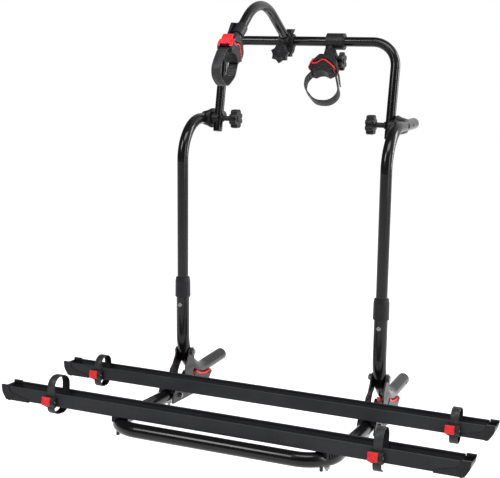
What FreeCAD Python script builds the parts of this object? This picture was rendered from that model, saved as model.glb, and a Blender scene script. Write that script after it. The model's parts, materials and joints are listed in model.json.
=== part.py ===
import FreeCAD, Part
import os
from math import asin, atan2, cos, degrees, pi, radians, sin, sqrt, tan
from FreeCAD import Matrix, Placement, Rotation, Vector

# Rear-wall bicycle rack for a motorhome, in millimetres.
# X runs across the vehicle, +Y points at the vehicle's wall, +Z is up.
# The origin lies on the wall, midway between the two lower arms, at their height.

# Overall layout
side_x = 302.0
side_y = -274.0
upper_arm_z = 767.0
tube_end_gap = 4.0
running_gap = 0.05
seat_gap = 0.3

# Lower side tubes
lower_radius = 19.0
lower_wall = 2.0
lower_bend = 140.0
lower_top_z = 305.0
lower_hole_y = -37.0
wall_hole_radius = 4.25
plug_past_hole = 12.0

# Upper side tubes
upper_radius = 16.0
upper_wall = 2.0
upper_bend = 115.0
upper_bottom_z = 170.0
upper_hole_y = -62.0

# Collar that guides the upper tube in the lower one
collar_bottom_z = 253.0
collar_top_z = 311.0
collar_skin = 3.6
collar_tongue_drop = 10.0
height_screw_z = 230.0
height_screw_radius = 3.0

# Fold-up platform, given in its own tilted frame
platform_tilt = 4.18
platform_origin = Vector(0, -358.0, 35.0)
rail_spacing = 308.0
rail_width = 63.0
rail_height = 36.0
rail_wall = 2.2
rail_floor = 2.6
bead_width = 4.6
bead_height = 4.0
bead_round = 1.2
overall_length = 1290.0

# Scoop caps on the rail ends
cap_skin = 2.2
cap_gap = 0.15
cap_end_wall = 3.0
cap_slant = 20.0
cap_tip = 6.0
cap_inside_reach = 26.0
cap_top_reach = 24.0
cap_bottom_reach = 88.0

# Foot bar under the rails
bar_radius = 19.0
bar_wall = 2.0
bar_bend = 85.0
bar_front_y = -350.0
bar_rear_y = 85.0
saddle_height = 4.0
saddle_width = 43.0
saddle_depth = 42.0
saddle_wrap = 11.0
saddle_rib = 3.0
bar_centre_z = -rail_height - saddle_height - bar_radius
peg_spread = 283.0
peg_y = -329.0
peg_radius = 4.5
peg_drop = 8.0

# Hinge between the platform and the lower tubes
pivot_turn = 25.0
plate_thickness = 4.0
plate_gap = 0.4
plate_step = 3.0
plate_head_radius = 13.0
pivot_radius = 5.0
bush_radius = 7.0
cross_bolt_places = [(17.0, -61.0), (65.0, -59.0)]
bolt_radius = 4.0
hole_gap = 0.2
spacer_radius = 9.0

# Lock lever under the lower bend
lever_pin_place = (115.0, -60.0)
lever_pin_radius = 4.0
channel_wall = 2.5
pad_inner_rise = 5.0
pad_depth = 11.0
channel_rise = 9.0

# Hoop and its clamps
hoop_radius = 13.5
hoop_wall = 2.0
hoop_leg_x = 263.4
hoop_lean = 11.45
hoop_bend = 70.0
hoop_reach = 233.0
hoop_tail = 37.0
clamp_y = -112.0
clamp_bolt_radius = 4.0
clamp_hub_x = 281.0
clamp_length = 62.0
clamp_height = 46.0
clamp_lip = 8.0
leg_saddle_radius = 17.0
leg_saddle_web = 3.4
knob_radius = 28.5
knob_thickness = 20.0
knob_stem_radius = 8.0
knob_face_x = 198.0

# Bike holders on the hoop bar
bush_wall = 2.0
bush_flange = 1.6
clamp_ring_wall = 4.5
arm_x = -66.0
arm_clamp_width = 42.0
arm_radius = 13.0
arm_wall = 1.8
arm_bend = 162.0
arm_climb = 31.0
arm_drop = 36.6
arm_corner = 246.0
arm_fall = 170.0
star_radius = 26.0
star_thickness = 18.0
star_drop = 35.0
star_reach = 64.0
holder_bolt_radius = 3.0
head_width = 78.0
head_height = 64.0
head_depth = 40.0
head_round = 5.0
liner_thickness = 2.4
lever_width = 33.0
lever_round = 1.2
lever_barrel = 2.4
lever_top = 18.0
long_head_reach = 66.1
long_head_sag = 5.3
long_loop = (60.0, -40.0, -110.0)
long_head_lean = 35.0
long_neck_radius = 14.0
arm_socket_reach = 16.0
arm_socket_root = 22.0
arm_socket_wall = 3.5
short_x = 83.5
short_clamp_width = 51.0
short_head_shift = -13.5
short_head_drop = 87.0
short_head_lean = 38.0
short_neck_radius = 13.0
short_loop = (44.0, -53.0, -123.0)
side_knob_radius = 26.0
side_knob_thickness = 17.0
side_knob_x = 117.0
side_knob_forward = -23.0
side_knob_drop = 55.0
knob_room = 1.5
side_boss_radius = 9.0
holder_strap_width = 26.0
holder_strap_thickness = 3.0

# Wheel straps
strap_width = 22.0
strap_thickness = 2.4
strap_clearance = 0.6
strap_crown = 27.0
tail_bend = 20.0
tail_gap = 1.6
anchor_lift = 2.0
buckle_width = 36.0
buckle_height = 26.0
buckle_depth = 9.0
release_width = 25.0
release_height = 24.0
release_thickness = 5.0
release_offset = -8.0
release_barrel = 2.2
# For each strap: end of the rail, distance from it, rail, arch height, tail depth, tail end, slant
wheel_straps = {
    "front_left": (-1, 161.5, -rail_spacing, 44.0, 23.0, 20.0, 10.0),
    "rear_left": (-1, 120.0, 0.0, 30.0, 24.0, 20.0, 0.0),
    "front_right": (1, 221.0, -rail_spacing, 42.0, 26.0, -8.0, 0.0),
    "rear_right": (1, 106.0, 0.0, 29.0, 27.0, 14.0, 0.0),
}

# Fasteners
nut_across = 13.0
nut_height = 6.5
pivot_nut_across = 17.0
pivot_nut_height = 8.0
bolt_head_height = 5.5

# Values worked out from the sizes above
bend_centre = Vector(0, side_y + lower_bend, lower_bend)
pivot_y = bend_centre.y - lower_bend * cos(radians(pivot_turn))
pivot_z = bend_centre.z - lower_bend * sin(radians(pivot_turn))
platform_place = Placement(platform_origin, Rotation(Vector(1, 0, 0), -platform_tilt))
pivot_in_platform = platform_place.inverse().multVec(Vector(0, pivot_y, pivot_z))
lever_pin_centre = platform_place.multVec(Vector(0, lever_pin_place[0], lever_pin_place[1]))
lever_pin_turn = degrees(atan2(bend_centre.y - lever_pin_centre.y, bend_centre.z - lever_pin_centre.z))
plate_inner = lower_radius + plate_gap
plate_low_inner = plate_inner + plate_step
hoop_up = Vector(0, sin(radians(hoop_lean)), cos(radians(hoop_lean)))
clamp_centre = Vector(0, clamp_y, upper_arm_z)
bar_centre = clamp_centre + hoop_up * hoop_reach
bush_outer = hoop_radius + running_gap + bush_wall
ring_inner = bush_outer + running_gap
ring_outer = ring_inner + clamp_ring_wall


def rounded_path(corners, radii):
    """An open wire through the corners, with a tangent arc at each inner one."""
    edges = []
    start = corners[0]
    for here, ahead, radius in zip(corners[1:-1], corners[2:], radii):
        arrive = (here - start).normalize()
        leave = (ahead - here).normalize()
        turn = arrive.getAngle(leave)
        reach = radius * tan(turn / 2)
        inward = (leave - arrive).normalize()
        first = here - arrive * reach
        last = here + leave * reach
        middle = here + inward * (radius / cos(turn / 2) - radius)
        edges.append(Part.LineSegment(start, first).toShape())
        edges.append(Part.Arc(first, middle, last).toShape())
        start = last
    edges.append(Part.LineSegment(start, corners[-1]).toShape())
    return Part.Wire(edges)


def outline(points, place):
    """A closed face; the third number of a point rounds that corner."""
    corners = []
    for index, point in enumerate(points):
        here = place(point[0], point[1])
        before = place(*points[index - 1][:2])
        ahead = place(*points[(index + 1) % len(points)][:2])
        radius = point[2] if len(point) > 2 else 0
        arrive = (here - before).normalize()
        leave = (ahead - here).normalize()
        turn = arrive.getAngle(leave)
        reach = radius * tan(turn / 2)
        first = here - arrive * reach
        last = here + leave * reach
        middle = here
        if radius:
            middle = here + (leave - arrive).normalize() * (radius / cos(turn / 2) - radius)
        corners.append((first, middle, last, radius))
    edges = []
    for index, (first, middle, last, radius) in enumerate(corners):
        if radius:
            edges.append(Part.Arc(first, middle, last).toShape())
        following = corners[(index + 1) % len(corners)][0]
        if last.distanceToPoint(following) > 1e-6:
            edges.append(Part.LineSegment(last, following).toShape())
    return Part.Face(Part.Wire(edges))


def across(x):
    """Places a (y, z) pair in the plane at x."""
    return lambda y, z: Vector(x, y, z)


def slab(points, x_from, x_to):
    """A (y, z) outline drawn out along X."""
    return outline(points, across(x_from)).extrude(Vector(x_to - x_from, 0, 0))


def box(x_from, x_to, y_from, y_to, z_from, z_to):
    """A block between six limits."""
    size = Vector(x_to - x_from, y_to - y_from, z_to - z_from)
    return Part.makeBox(size.x, size.y, size.z, Vector(x_from, y_from, z_from))


def rod(start, end, radius):
    """A round bar from one point to another."""
    axis = end - start
    return Part.makeCylinder(radius, axis.Length, start, axis)


def swept(path, radius):
    """A round bar along a wire."""
    first = path.Edges[0]
    point = first.valueAt(first.FirstParameter)
    direction = first.tangentAt(first.FirstParameter)
    section = Part.Wire(Part.makeCircle(radius, point, direction))
    return path.makePipeShell([section], True, False)


def bent_tube(path, radius, wall):
    """A hollow tube along a wire."""
    return swept(path, radius).cut(swept(path, radius - wall))


def prism(across_flats, height, base, axis):
    """A hexagonal block that stands on base and points along axis."""
    corner = across_flats / 2 / cos(pi / 6)
    points = [Vector(corner * cos(i * pi / 3), corner * sin(i * pi / 3), 0) for i in range(6)]
    solid = Part.Face(Part.makePolygon(points + points[:1])).extrude(Vector(0, 0, height))
    solid.Placement = Placement(base, Rotation(Vector(0, 0, 1), axis))
    return solid


def bolt(base, axis, radius, length, across_flats, head):
    """A hexagon bolt: the head's bearing face is at base, the shank runs along axis."""
    direction = Vector(axis).normalize()
    shank = rod(base, base + direction * length, radius)
    return prism(across_flats, head, base, direction * -1).fuse(shank)


def nut(base, axis, radius, across_flats, height):
    """A hexagon nut that stands on base."""
    direction = Vector(axis).normalize()
    bore = rod(base - direction, base + direction * (height + 1), radius)
    return prism(across_flats, height, base, direction).cut(bore)


def both_sides(solid):
    """The solid and its mirror image across the middle plane."""
    return [solid, mirrored(solid)]


def mirrored(solid):
    """The mirror image across the middle plane."""
    return solid.mirror(Vector(0, 0, 0), Vector(1, 0, 0))


def turned(points, axis_point):
    """A solid of revolution about a vertical axis, from (radius, z) points."""
    face = outline(points, lambda radius, z: axis_point + Vector(radius, 0, z))
    return face.revolve(axis_point, Vector(0, 0, 1), 360)


def lower_tube():
    """Right-hand lower side tube, from the wall end to its open top."""
    corners = [
        Vector(side_x, -tube_end_gap, 0),
        Vector(side_x, side_y, 0),
        Vector(side_x, side_y, lower_top_z),
    ]
    tube = bent_tube(rounded_path(corners, [lower_bend]), lower_radius, lower_wall)
    wall_hole = rod(
        Vector(side_x - 2 * lower_radius, lower_hole_y, 0),
        Vector(side_x + 2 * lower_radius, lower_hole_y, 0),
        wall_hole_radius,
    )
    bush_hole = rod(
        Vector(side_x - 2 * lower_radius, pivot_y, pivot_z),
        Vector(side_x + 2 * lower_radius, pivot_y, pivot_z),
        bush_radius,
    )
    screw_hole = rod(
        Vector(side_x, side_y, height_screw_z),
        Vector(side_x, side_y - 2 * lower_radius, height_screw_z),
        height_screw_radius,
    )
    return tube.cut(wall_hole).cut(bush_hole).cut(screw_hole)


def upper_tube_path():
    """Centre line of the right-hand upper side tube."""
    corners = [
        Vector(side_x, side_y, upper_bottom_z),
        Vector(side_x, side_y, upper_arm_z),
        Vector(side_x, -tube_end_gap, upper_arm_z),
    ]
    return rounded_path(corners, [upper_bend])


def upper_tube():
    """Right-hand upper side tube with its bolt holes."""
    tube = bent_tube(upper_tube_path(), upper_radius, upper_wall)
    wall_hole = rod(
        Vector(side_x - 2 * upper_radius, upper_hole_y, upper_arm_z),
        Vector(side_x + 2 * upper_radius, upper_hole_y, upper_arm_z),
        wall_hole_radius,
    )
    shank_hole = rod(
        Vector(side_x - 2 * upper_radius, clamp_y, upper_arm_z),
        Vector(side_x, clamp_y, upper_arm_z),
        clamp_bolt_radius + hole_gap,
    )
    head_hole = rod(
        Vector(side_x, clamp_y, upper_arm_z),
        Vector(side_x + 2 * upper_radius, clamp_y, upper_arm_z),
        nut_across / 2 / cos(pi / 6) + hole_gap,
    )
    return tube.cut(wall_hole).cut(shank_hole).cut(head_hole)


def end_plug(x, z, bore_radius, outer_radius, hole_y):
    """Plastic plug in the wall end of a side tube; the wall bolt passes through it."""
    depth = -hole_y + plug_past_hole - tube_end_gap
    head_radius = outer_radius - 1.0
    points = [
        (0, -tube_end_gap - depth),
        (bore_radius, -tube_end_gap - depth),
        (bore_radius, -tube_end_gap),
        (head_radius, -tube_end_gap),
        (head_radius, 0, 3.0),
        (0, 0),
    ]
    face = outline(points, lambda radius, y: Vector(x + radius, y, z))
    plug = face.revolve(Vector(x, 0, z), Vector(0, 1, 0), 360)
    reach = Vector(2 * outer_radius, 0, 0)
    middle = Vector(x, hole_y, z)
    return plug.cut(rod(middle - reach, middle + reach, wall_hole_radius))


def height_collar():
    """Collar on top of the lower tube: its lip guides the sliding upper tube."""
    axis = Vector(side_x, side_y, 0)
    outer = lower_radius + collar_skin
    points = [
        (lower_radius, collar_bottom_z),
        (outer, collar_bottom_z, 1.0),
        (outer - 0.6, lower_top_z - 6, 3.0),
        (lower_radius + 1.0, collar_top_z, 1.0),
        (upper_radius + running_gap, collar_top_z),
        (upper_radius + running_gap, lower_top_z),
        (lower_radius, lower_top_z),
    ]
    ring = turned(points, axis)
    tongue_bottom = collar_bottom_z - collar_tongue_drop
    tongue = slab(
        [
            (side_y + lower_radius - 4, tongue_bottom, 3.0),
            (side_y + outer + 3.5, tongue_bottom, 2.0),
            (side_y + outer + 3.5, lower_top_z - 18, 6.0),
            (side_y + outer - 2, lower_top_z - 8),
            (side_y + lower_radius - 4, lower_top_z - 8),
        ],
        side_x - 9,
        side_x + 9,
    )
    core = rod(Vector(side_x, side_y, tongue_bottom - 1), axis + Vector(0, 0, lower_top_z), lower_radius)
    return ring.fuse(tongue.cut(core))


def height_screw():
    """Button-head screw in the front of the lower tube, set against the inner tube."""
    tip = Vector(side_x, side_y - upper_radius - seat_gap, height_screw_z)
    seat = Vector(side_x, side_y - lower_radius, height_screw_z)
    shank = rod(tip, seat, height_screw_radius)
    head = rod(seat, seat - Vector(0, 3.0, 0), 2 * height_screw_radius)
    return shank.fuse(head.makeFillet(1.6, [head.Edges[0]]))


def pivot_bush():
    """Bush through the bend of the lower tube for the pivot bolt."""
    start = Vector(side_x - lower_radius, pivot_y, pivot_z)
    end = Vector(side_x + lower_radius, pivot_y, pivot_z)
    return rod(start, end, bush_radius).cut(rod(start, end, pivot_radius))


def pivot_bolt():
    """Pivot bolt with its head on the outer side."""
    head_x = side_x + plate_inner + plate_thickness + seat_gap
    nut_x = side_x - plate_inner - plate_thickness - seat_gap
    length = head_x - nut_x + pivot_nut_height + 2
    base = Vector(head_x, pivot_y, pivot_z)
    return bolt(base, Vector(-1, 0, 0), pivot_radius, length, pivot_nut_across, bolt_head_height)


def pivot_nut():
    """Lock nut on the inner end of the pivot bolt."""
    nut_x = side_x - plate_inner - plate_thickness - seat_gap
    base = Vector(nut_x, pivot_y, pivot_z)
    return nut(base, Vector(-1, 0, 0), pivot_radius, pivot_nut_across, pivot_nut_height)


def rail_section(y_centre, skin, side_reach):
    """Outline of the channel rail, grown by skin on every face."""
    half = rail_width / 2 + skin
    inner = rail_width / 2 - rail_wall - skin
    bead = rail_width / 2 - bead_width - skin
    top = skin
    bead_low = -bead_height - skin
    bottom = -rail_height - skin
    floor = -rail_height + rail_floor + skin
    points = [
        (y_centre - half, bottom, 2.0),
        (y_centre + half, bottom, 2.0),
        (y_centre + half, top, bead_round),
        (y_centre + bead, top, bead_round),
        (y_centre + bead, bead_low, bead_round),
        (y_centre + inner, bead_low - bead_height / 2),
        (y_centre + inner, floor, 2.0),
        (y_centre - inner, floor, 2.0),
        (y_centre - inner, bead_low - bead_height / 2),
        (y_centre - bead, bead_low, bead_round),
        (y_centre - bead, top, bead_round),
        (y_centre - half, top, bead_round),
    ]
    return slab(points, -side_reach, side_reach)


def rail(y_centre, bolt_x):
    """One open-topped wheel channel with its two bolt holes."""
    half_length = overall_length / 2 - cap_slant - cap_tip
    channel = rail_section(y_centre, 0, half_length)
    for x in (-bolt_x, bolt_x):
        hole = rod(
            Vector(x, y_centre, -rail_height - 1),
            Vector(x, y_centre, -rail_height + rail_floor + 1),
            bolt_radius + hole_gap,
        )
        channel = channel.cut(hole)
    return channel


def rail_cap(y_centre):
    """Scoop-shaped end cap on the right-hand end of a rail."""
    tip_x = overall_length / 2
    rail_end = tip_x - cap_slant - cap_tip
    sleeve = rail_section(y_centre, cap_skin, tip_x)
    rail_room = rail_section(y_centre, cap_gap, rail_end + cap_gap)
    side_view = [
        (tip_x - cap_bottom_reach, -rail_height - 2 * cap_skin),
        (tip_x - cap_slant - cap_tip, -rail_height - 2 * cap_skin),
        (tip_x - cap_slant + 4, -rail_height - cap_skin, 12.0),
        (tip_x - 3, -rail_height / 2, 26.0),
        (tip_x, cap_skin),
        (tip_x, 2 * cap_skin),
        (tip_x - cap_top_reach, 2 * cap_skin),
        (tip_x - cap_top_reach, -2),
        (tip_x - cap_top_reach - 6, -rail_height * 0.45, 8.0),
        (tip_x - cap_bottom_reach * 0.6, -rail_height * 0.62, 14.0),
        (tip_x - cap_bottom_reach, -rail_height * 0.86, 4.0),
    ]
    y_from = y_centre - rail_width
    trim = outline(side_view, lambda x, z: Vector(x, y_from, z)).extrude(Vector(0, 2 * rail_width, 0))
    inside = box(
        0,
        tip_x - cap_inside_reach - cap_tip,
        y_centre - rail_width / 2 + rail_wall / 2,
        y_centre + rail_width / 2 - rail_wall / 2,
        -rail_height + rail_floor / 2,
        rail_height,
    )
    scoop_room = trim.copy()
    scoop_room.translate(Vector(-cap_end_wall, 0, 0))
    scoop = box(
        rail_end + 2 * cap_gap,
        tip_x,
        y_centre - rail_width / 2,
        y_centre + rail_width / 2,
        -rail_height - 2 * cap_skin,
        -bead_height,
    )
    scoop = scoop.common(trim).cut(scoop_room)
    return sleeve.cut(rail_room).common(trim).cut(inside).fuse(scoop).removeSplitter()


def foot_bar_path():
    """Centre line of the U-shaped bar under the rails."""
    corners = [
        Vector(side_x, bar_rear_y, bar_centre_z),
        Vector(side_x, bar_front_y, bar_centre_z),
        Vector(-side_x, bar_front_y, bar_centre_z),
        Vector(-side_x, bar_rear_y, bar_centre_z),
    ]
    return rounded_path(corners, [bar_bend, bar_bend])


def bar_x_at(y):
    """Distance of the foot bar's centre line from the middle, at y."""
    bend_start = bar_front_y + bar_bend
    if y >= bend_start:
        return side_x
    return side_x - bar_bend + sqrt(bar_bend ** 2 - (bend_start - y) ** 2)


def rail_bolt_places():
    """Where the right-hand leg of the foot bar carries the two rails."""
    return [(bar_x_at(y), y) for y in (0.0, -rail_spacing)]


def foot_bar():
    """U-shaped bar with the holes for the rail bolts and the hinge bolts."""
    bar = bent_tube(foot_bar_path(), bar_radius, bar_wall)
    holes = []
    for x, y in rail_bolt_places():
        top = Vector(x, y, -rail_height)
        bottom = Vector(x, y, bar_centre_z - 2 * bar_radius)
        holes.append(rod(top, bottom, bolt_radius + hole_gap))
    for y, z in cross_bolt_places:
        start = Vector(side_x - 2 * bar_radius, y, z)
        end = Vector(side_x + 2 * bar_radius, y, z)
        holes.append(rod(start, end, bolt_radius + hole_gap))
    for hole in holes:
        for twin in both_sides(hole):
            bar = bar.cut(twin)
    return bar


def bar_plug():
    """Plug in the open rear end of the foot bar's leg."""
    start = Vector(side_x, bar_rear_y - 12, bar_centre_z)
    end = Vector(side_x, bar_rear_y, bar_centre_z)
    inside = rod(start, end, bar_radius - bar_wall)
    head = rod(end, end + Vector(0, 2, 0), bar_radius - 1)
    return inside.fuse(head)


def rail_saddle(x, y, bar):
    """Ribbed plastic seat between the foot bar and a rail."""
    half_width = saddle_width / 2
    half_depth = saddle_depth / 2
    low = -rail_height - saddle_height - saddle_wrap
    bend_start = bar_front_y + bar_bend
    heading = degrees(asin(max(0.0, bend_start - y) / bar_bend))
    block = box(x - half_width, x + half_width, y - half_depth, y + half_depth, low, -rail_height)
    pitch = saddle_depth / 5
    for step in range(1, 5):
        rib_y = y - half_depth + step * pitch
        for side in (-1, 1):
            edge = x + side * half_width
            inner = edge - side * saddle_rib
            x_low = min(edge, inner)
            x_high = max(edge, inner)
            groove = box(x_low, x_high, rib_y - 2, rib_y + 2, low, -rail_height - saddle_height)
            block = block.cut(groove)
    block.rotate(Vector(x, y, 0), Vector(0, 0, 1), -heading)
    hole = rod(Vector(x, y, low - 1), Vector(x, y, 0), bolt_radius)
    return block.cut(bar).cut(hole)


def rail_bolt(x, y):
    """Round-headed bolt from the rail's floor down through the foot bar."""
    seat = Vector(x, y, -rail_height + rail_floor)
    length = rail_floor + saddle_height + 2 * bar_radius + nut_height + 5
    shank = rod(seat, seat - Vector(0, 0, length), bolt_radius)
    dome_radius = 2.4 * bolt_radius
    rise = 4.0
    points = [
        (0, 0),
        (dome_radius, 0),
        (dome_radius * 0.6, rise * 0.85),
        (0, rise),
    ]
    return shank.fuse(turned(points, seat))


def frame_nut(x, y):
    """Nut under the foot bar on a rail bolt."""
    base = Vector(x, y, bar_centre_z - bar_radius)
    return nut(base, Vector(0, 0, -1), bolt_radius, nut_across, nut_height)


def foot_peg(bar):
    """Rubber foot under the front corner of the foot bar."""
    top = Vector(peg_spread, peg_y, bar_centre_z)
    foot = Vector(peg_spread, peg_y, bar_centre_z - bar_radius - peg_drop)
    return rod(top, foot, peg_radius).cut(bar)


def plate_outline():
    """Side view of a hinge plate: broad at the leg, narrow round the pivot."""
    y = pivot_in_platform.y
    z = pivot_in_platform.z
    head = plate_head_radius
    return [
        (-32, -78, 6.0),
        (124, -78, 8.0),
        (130, -62, 6.0),
        (92, -20, 20.0),
        (112, 12, 30.0),
        (y + head * 1.4, z - head * 0.6, 12.0),
        (y + head * 0.9, z + head, 9.0),
        (y - head * 0.9, z + head, 9.0),
        (y - head * 1.6, z - head, 30.0),
        (48, 2, 30.0),
        (44, -20, 14.0),
        (35, -38.5, 10.0),
        (-14, -38.5, 8.0),
    ]


def hinge_plate(direction):
    """One stepped cheek of the right-hand hinge; direction is its side of the tube."""
    step_low = 4.0
    step_high = 16.0
    low = plate_low_inner
    high = plate_inner
    thick = plate_thickness
    fold = [
        (low, -90),
        (low + thick, -90),
        (low + thick, step_low),
        (high + thick, step_high),
        (high + thick, 90),
        (high, 90),
        (high, step_high),
        (low, step_low),
    ]
    y_from = -60
    sheet = outline(fold, lambda x, z: Vector(side_x + direction * x, y_from, z))
    sheet = sheet.extrude(Vector(0, 240, 0))
    cheek = slab(plate_outline(), side_x - 40, side_x + 40).common(sheet)
    pivot = pivot_in_platform
    holes = [(pivot.y, pivot.z, pivot_radius + running_gap)]
    holes += [(y, z, bolt_radius) for y, z in cross_bolt_places]
    holes += [(lever_pin_place[0], lever_pin_place[1], lever_pin_radius)]
    for y, z, radius in holes:
        cheek = cheek.cut(rod(Vector(side_x - 60, y, z), Vector(side_x + 60, y, z), radius))
    return cheek


def hinge_spacers():
    """Rings that fill the step between the foot bar's leg and the hinge plates."""
    rings = []
    for y, z in cross_bolt_places:
        for direction in (-1, 1):
            start = Vector(side_x + direction * bar_radius, y, z)
            end = Vector(side_x + direction * plate_low_inner, y, z)
            rings.append(rod(start, end, spacer_radius).cut(rod(start, end, bolt_radius)))
    return rings


def hinge_bolt(y, z):
    """Cross bolt through both hinge plates and the leg."""
    head_x = side_x + plate_low_inner + plate_thickness
    length = 2 * (plate_low_inner + plate_thickness) + nut_height + 2
    base = Vector(head_x, y, z)
    return bolt(base, Vector(-1, 0, 0), bolt_radius, length, nut_across, bolt_head_height)


def hinge_nut(y, z):
    """Nut on the inner end of a cross bolt."""
    base = Vector(side_x - plate_low_inner - plate_thickness, y, z)
    return nut(base, Vector(-1, 0, 0), bolt_radius, nut_across, nut_height)


def lever_pin():
    """Headed pin that carries the lock lever between the plates."""
    y, z = lever_pin_place
    reach = plate_low_inner + plate_thickness
    start = Vector(side_x - reach - 2, y, z)
    end = Vector(side_x + reach, y, z)
    head = rod(end, end + Vector(2.5, 0, 0), 1.6 * lever_pin_radius)
    return rod(start, end, lever_pin_radius).fuse(head)


def bend_arc_point(radius, turn):
    """Point on a circle about the lower bend's centre, in (y, z); turn runs forward from below."""
    angle = radians(turn)
    return (bend_centre.y - radius * sin(angle), bend_centre.z - radius * cos(angle))


def tube_room(gap):
    """The space of the right-hand lower tube, grown by gap."""
    corners = [
        Vector(side_x, 40, 0),
        Vector(side_x, side_y, 0),
        Vector(side_x, side_y, lower_top_z),
    ]
    return swept(rounded_path(corners, [lower_bend]), lower_radius + gap)


def bend_band(inner, outer, turn_from, turn_to, half_width):
    """A curved block under the bend, between two radii and two turns."""
    middle = (turn_from + turn_to) / 2
    x = side_x - half_width
    turns = (turn_from, middle, turn_to)
    arc_out = Part.Arc(*[Vector(x, *bend_arc_point(outer, turn)) for turn in turns])
    arc_in = Part.Arc(*[Vector(x, *bend_arc_point(inner, turn)) for turn in reversed(turns)])
    side_a = Part.LineSegment(arc_out.EndPoint, arc_in.StartPoint)
    side_b = Part.LineSegment(arc_in.EndPoint, arc_out.StartPoint)
    wire = Part.Wire([arc_out.toShape(), side_a.toShape(), arc_in.toShape(), side_b.toShape()])
    return Part.Face(wire).extrude(Vector(2 * half_width, 0, 0))


def lock_pad():
    """Cradle pad of the lock lever, which hugs the underside of the bend."""
    inner = lower_bend + lower_radius - pad_inner_rise
    outer = lower_bend + lower_radius + pad_depth - seat_gap
    half_width = plate_low_inner - plate_gap - channel_wall
    band = bend_band(inner, outer, -6, lever_pin_turn - 1, half_width)
    return band.cut(tube_room(seat_gap))


def lock_channel():
    """Pressed channel of the lock lever, hinged on its pin below the pad."""
    pin = lever_pin_centre
    half_outer = plate_low_inner - plate_gap
    half_inner = half_outer - channel_wall
    rim = lower_bend + lower_radius + pad_depth - channel_rise
    sole = lower_bend + lower_radius + pad_depth
    tip = bend_arc_point(rim - 3, -8)
    heel = bend_arc_point(sole + 10, 2)
    side_view = [
        (pin.y - 9, pin.z - 9, 7.0),
        (heel[0] - 26, pin.z - 8, 12.0),
        (heel[0], heel[1], 4.0),
        (tip[0], tip[1], 2.0),
        (bend_arc_point(rim, 4)[0], bend_arc_point(rim, 4)[1], 10.0),
        (bend_arc_point(rim, 24)[0], bend_arc_point(rim, 24)[1], 30.0),
        (bend_arc_point(rim, lever_pin_turn + 2)[0], bend_arc_point(rim, lever_pin_turn + 2)[1], 3.0),
        (pin.y - 10, pin.z + 24, 14.0),
    ]
    body = slab(side_view, side_x - half_outer, side_x + half_outer)
    bed = bend_band(rim - 40, sole, -14, 60, half_inner)
    hollow = bend_band(sole + channel_wall, sole + 60, -30, 80, half_inner)
    pin_hole = rod(
        Vector(side_x - 40, pin.y, pin.z), Vector(side_x + 40, pin.y, pin.z), lever_pin_radius + running_gap
    )
    body = body.cut(bed).cut(hollow).cut(tube_room(seat_gap)).cut(pin_hole)
    return max(body.Solids, key=lambda piece: piece.Volume)


def hoop_path():
    """Centre line of the hoop: two leaned legs and the bar across."""
    foot = clamp_centre - hoop_up * hoop_tail
    right = Vector(hoop_leg_x, 0, 0)
    corners = [
        foot - right,
        bar_centre - right,
        bar_centre + right,
        foot + right,
    ]
    return rounded_path(corners, [hoop_bend, hoop_bend])


def leg_rod(gap):
    """The straight part of the right-hand hoop leg, grown by gap."""
    right = Vector(hoop_leg_x, 0, 0)
    start = clamp_centre - hoop_up * 90 + right
    end = clamp_centre + hoop_up * 90 + right
    return rod(start, end, hoop_radius + gap)


def clamp_axis_rod(x_from, x_to, radius):
    """A rod on the right-hand clamp's bolt axis."""
    return rod(clamp_centre + Vector(x_from, 0, 0), clamp_centre + Vector(x_to, 0, 0), radius)


def hoop_tube():
    """The hoop with a bolt hole through each leg."""
    tube = bent_tube(hoop_path(), hoop_radius, hoop_wall)
    reach = hoop_leg_x + 2 * hoop_radius
    near = hoop_leg_x - 2 * hoop_radius
    hole = clamp_axis_rod(near, reach, clamp_bolt_radius + running_gap)
    for twin in both_sides(hole):
        tube = tube.cut(twin)
    return tube


def hoop_plug():
    """Plug in the open foot of a hoop leg."""
    foot = clamp_centre - hoop_up * hoop_tail + Vector(hoop_leg_x, 0, 0)
    inside = rod(foot, foot + hoop_up * 12, hoop_radius - hoop_wall)
    head = rod(foot, foot - hoop_up * 2, hoop_radius - 0.6)
    return inside.fuse(head)


def leg_saddles():
    """Round seats on both sides of the hoop leg, which turn with it on the bolt."""
    outer_face = clamp_hub_x - seat_gap
    inner_face = hoop_leg_x - hoop_radius - leg_saddle_web
    seats = [
        clamp_axis_rod(hoop_leg_x + hoop_radius - 6, outer_face, leg_saddle_radius),
        clamp_axis_rod(inner_face, hoop_leg_x - hoop_radius + 5, leg_saddle_radius - 4),
    ]
    bore = clamp_axis_rod(inner_face - 5, outer_face + 5, clamp_bolt_radius + running_gap)
    return [seat.cut(leg_rod(0)).cut(bore) for seat in seats]


def tube_clamp():
    """Block that saddles the upper arm and carries the hoop bolt."""
    half_length = clamp_length / 2
    half_height = clamp_height / 2
    lip_x = side_x + clamp_lip
    y_from = clamp_y - half_length
    y_to = clamp_y + half_length
    low = upper_arm_z - half_height
    high = upper_arm_z + half_height
    side_view = [
        (y_from, low + 8, 8.0),
        (clamp_y - 8, low, 20.0),
        (y_to - 10, low + 2, 8.0),
        (y_to, upper_arm_z - 8, 10.0),
        (y_to, upper_arm_z + 8, 10.0),
        (y_to - 6, high - 2, 8.0),
        (clamp_y - 8, high, 20.0),
        (y_from, high - 8, 8.0),
    ]
    block = slab(side_view, side_x - upper_radius + 1, lip_x)
    hub = clamp_axis_rod(clamp_hub_x, side_x, leg_saddle_radius + 1)
    arm = rod(
        Vector(side_x, y_from - 20, upper_arm_z), Vector(side_x, y_to + 20, upper_arm_z), upper_radius
    )
    mouth_half = upper_radius * 0.8
    mouth_low = upper_arm_z - mouth_half
    mouth = box(side_x, lip_x + 1, y_from - 1, y_to + 1, mouth_low, upper_arm_z + mouth_half)
    bore = clamp_axis_rod(clamp_hub_x - 5, side_x, clamp_bolt_radius)
    return block.fuse(hub).cut(arm).cut(mouth).cut(bore)


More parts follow.
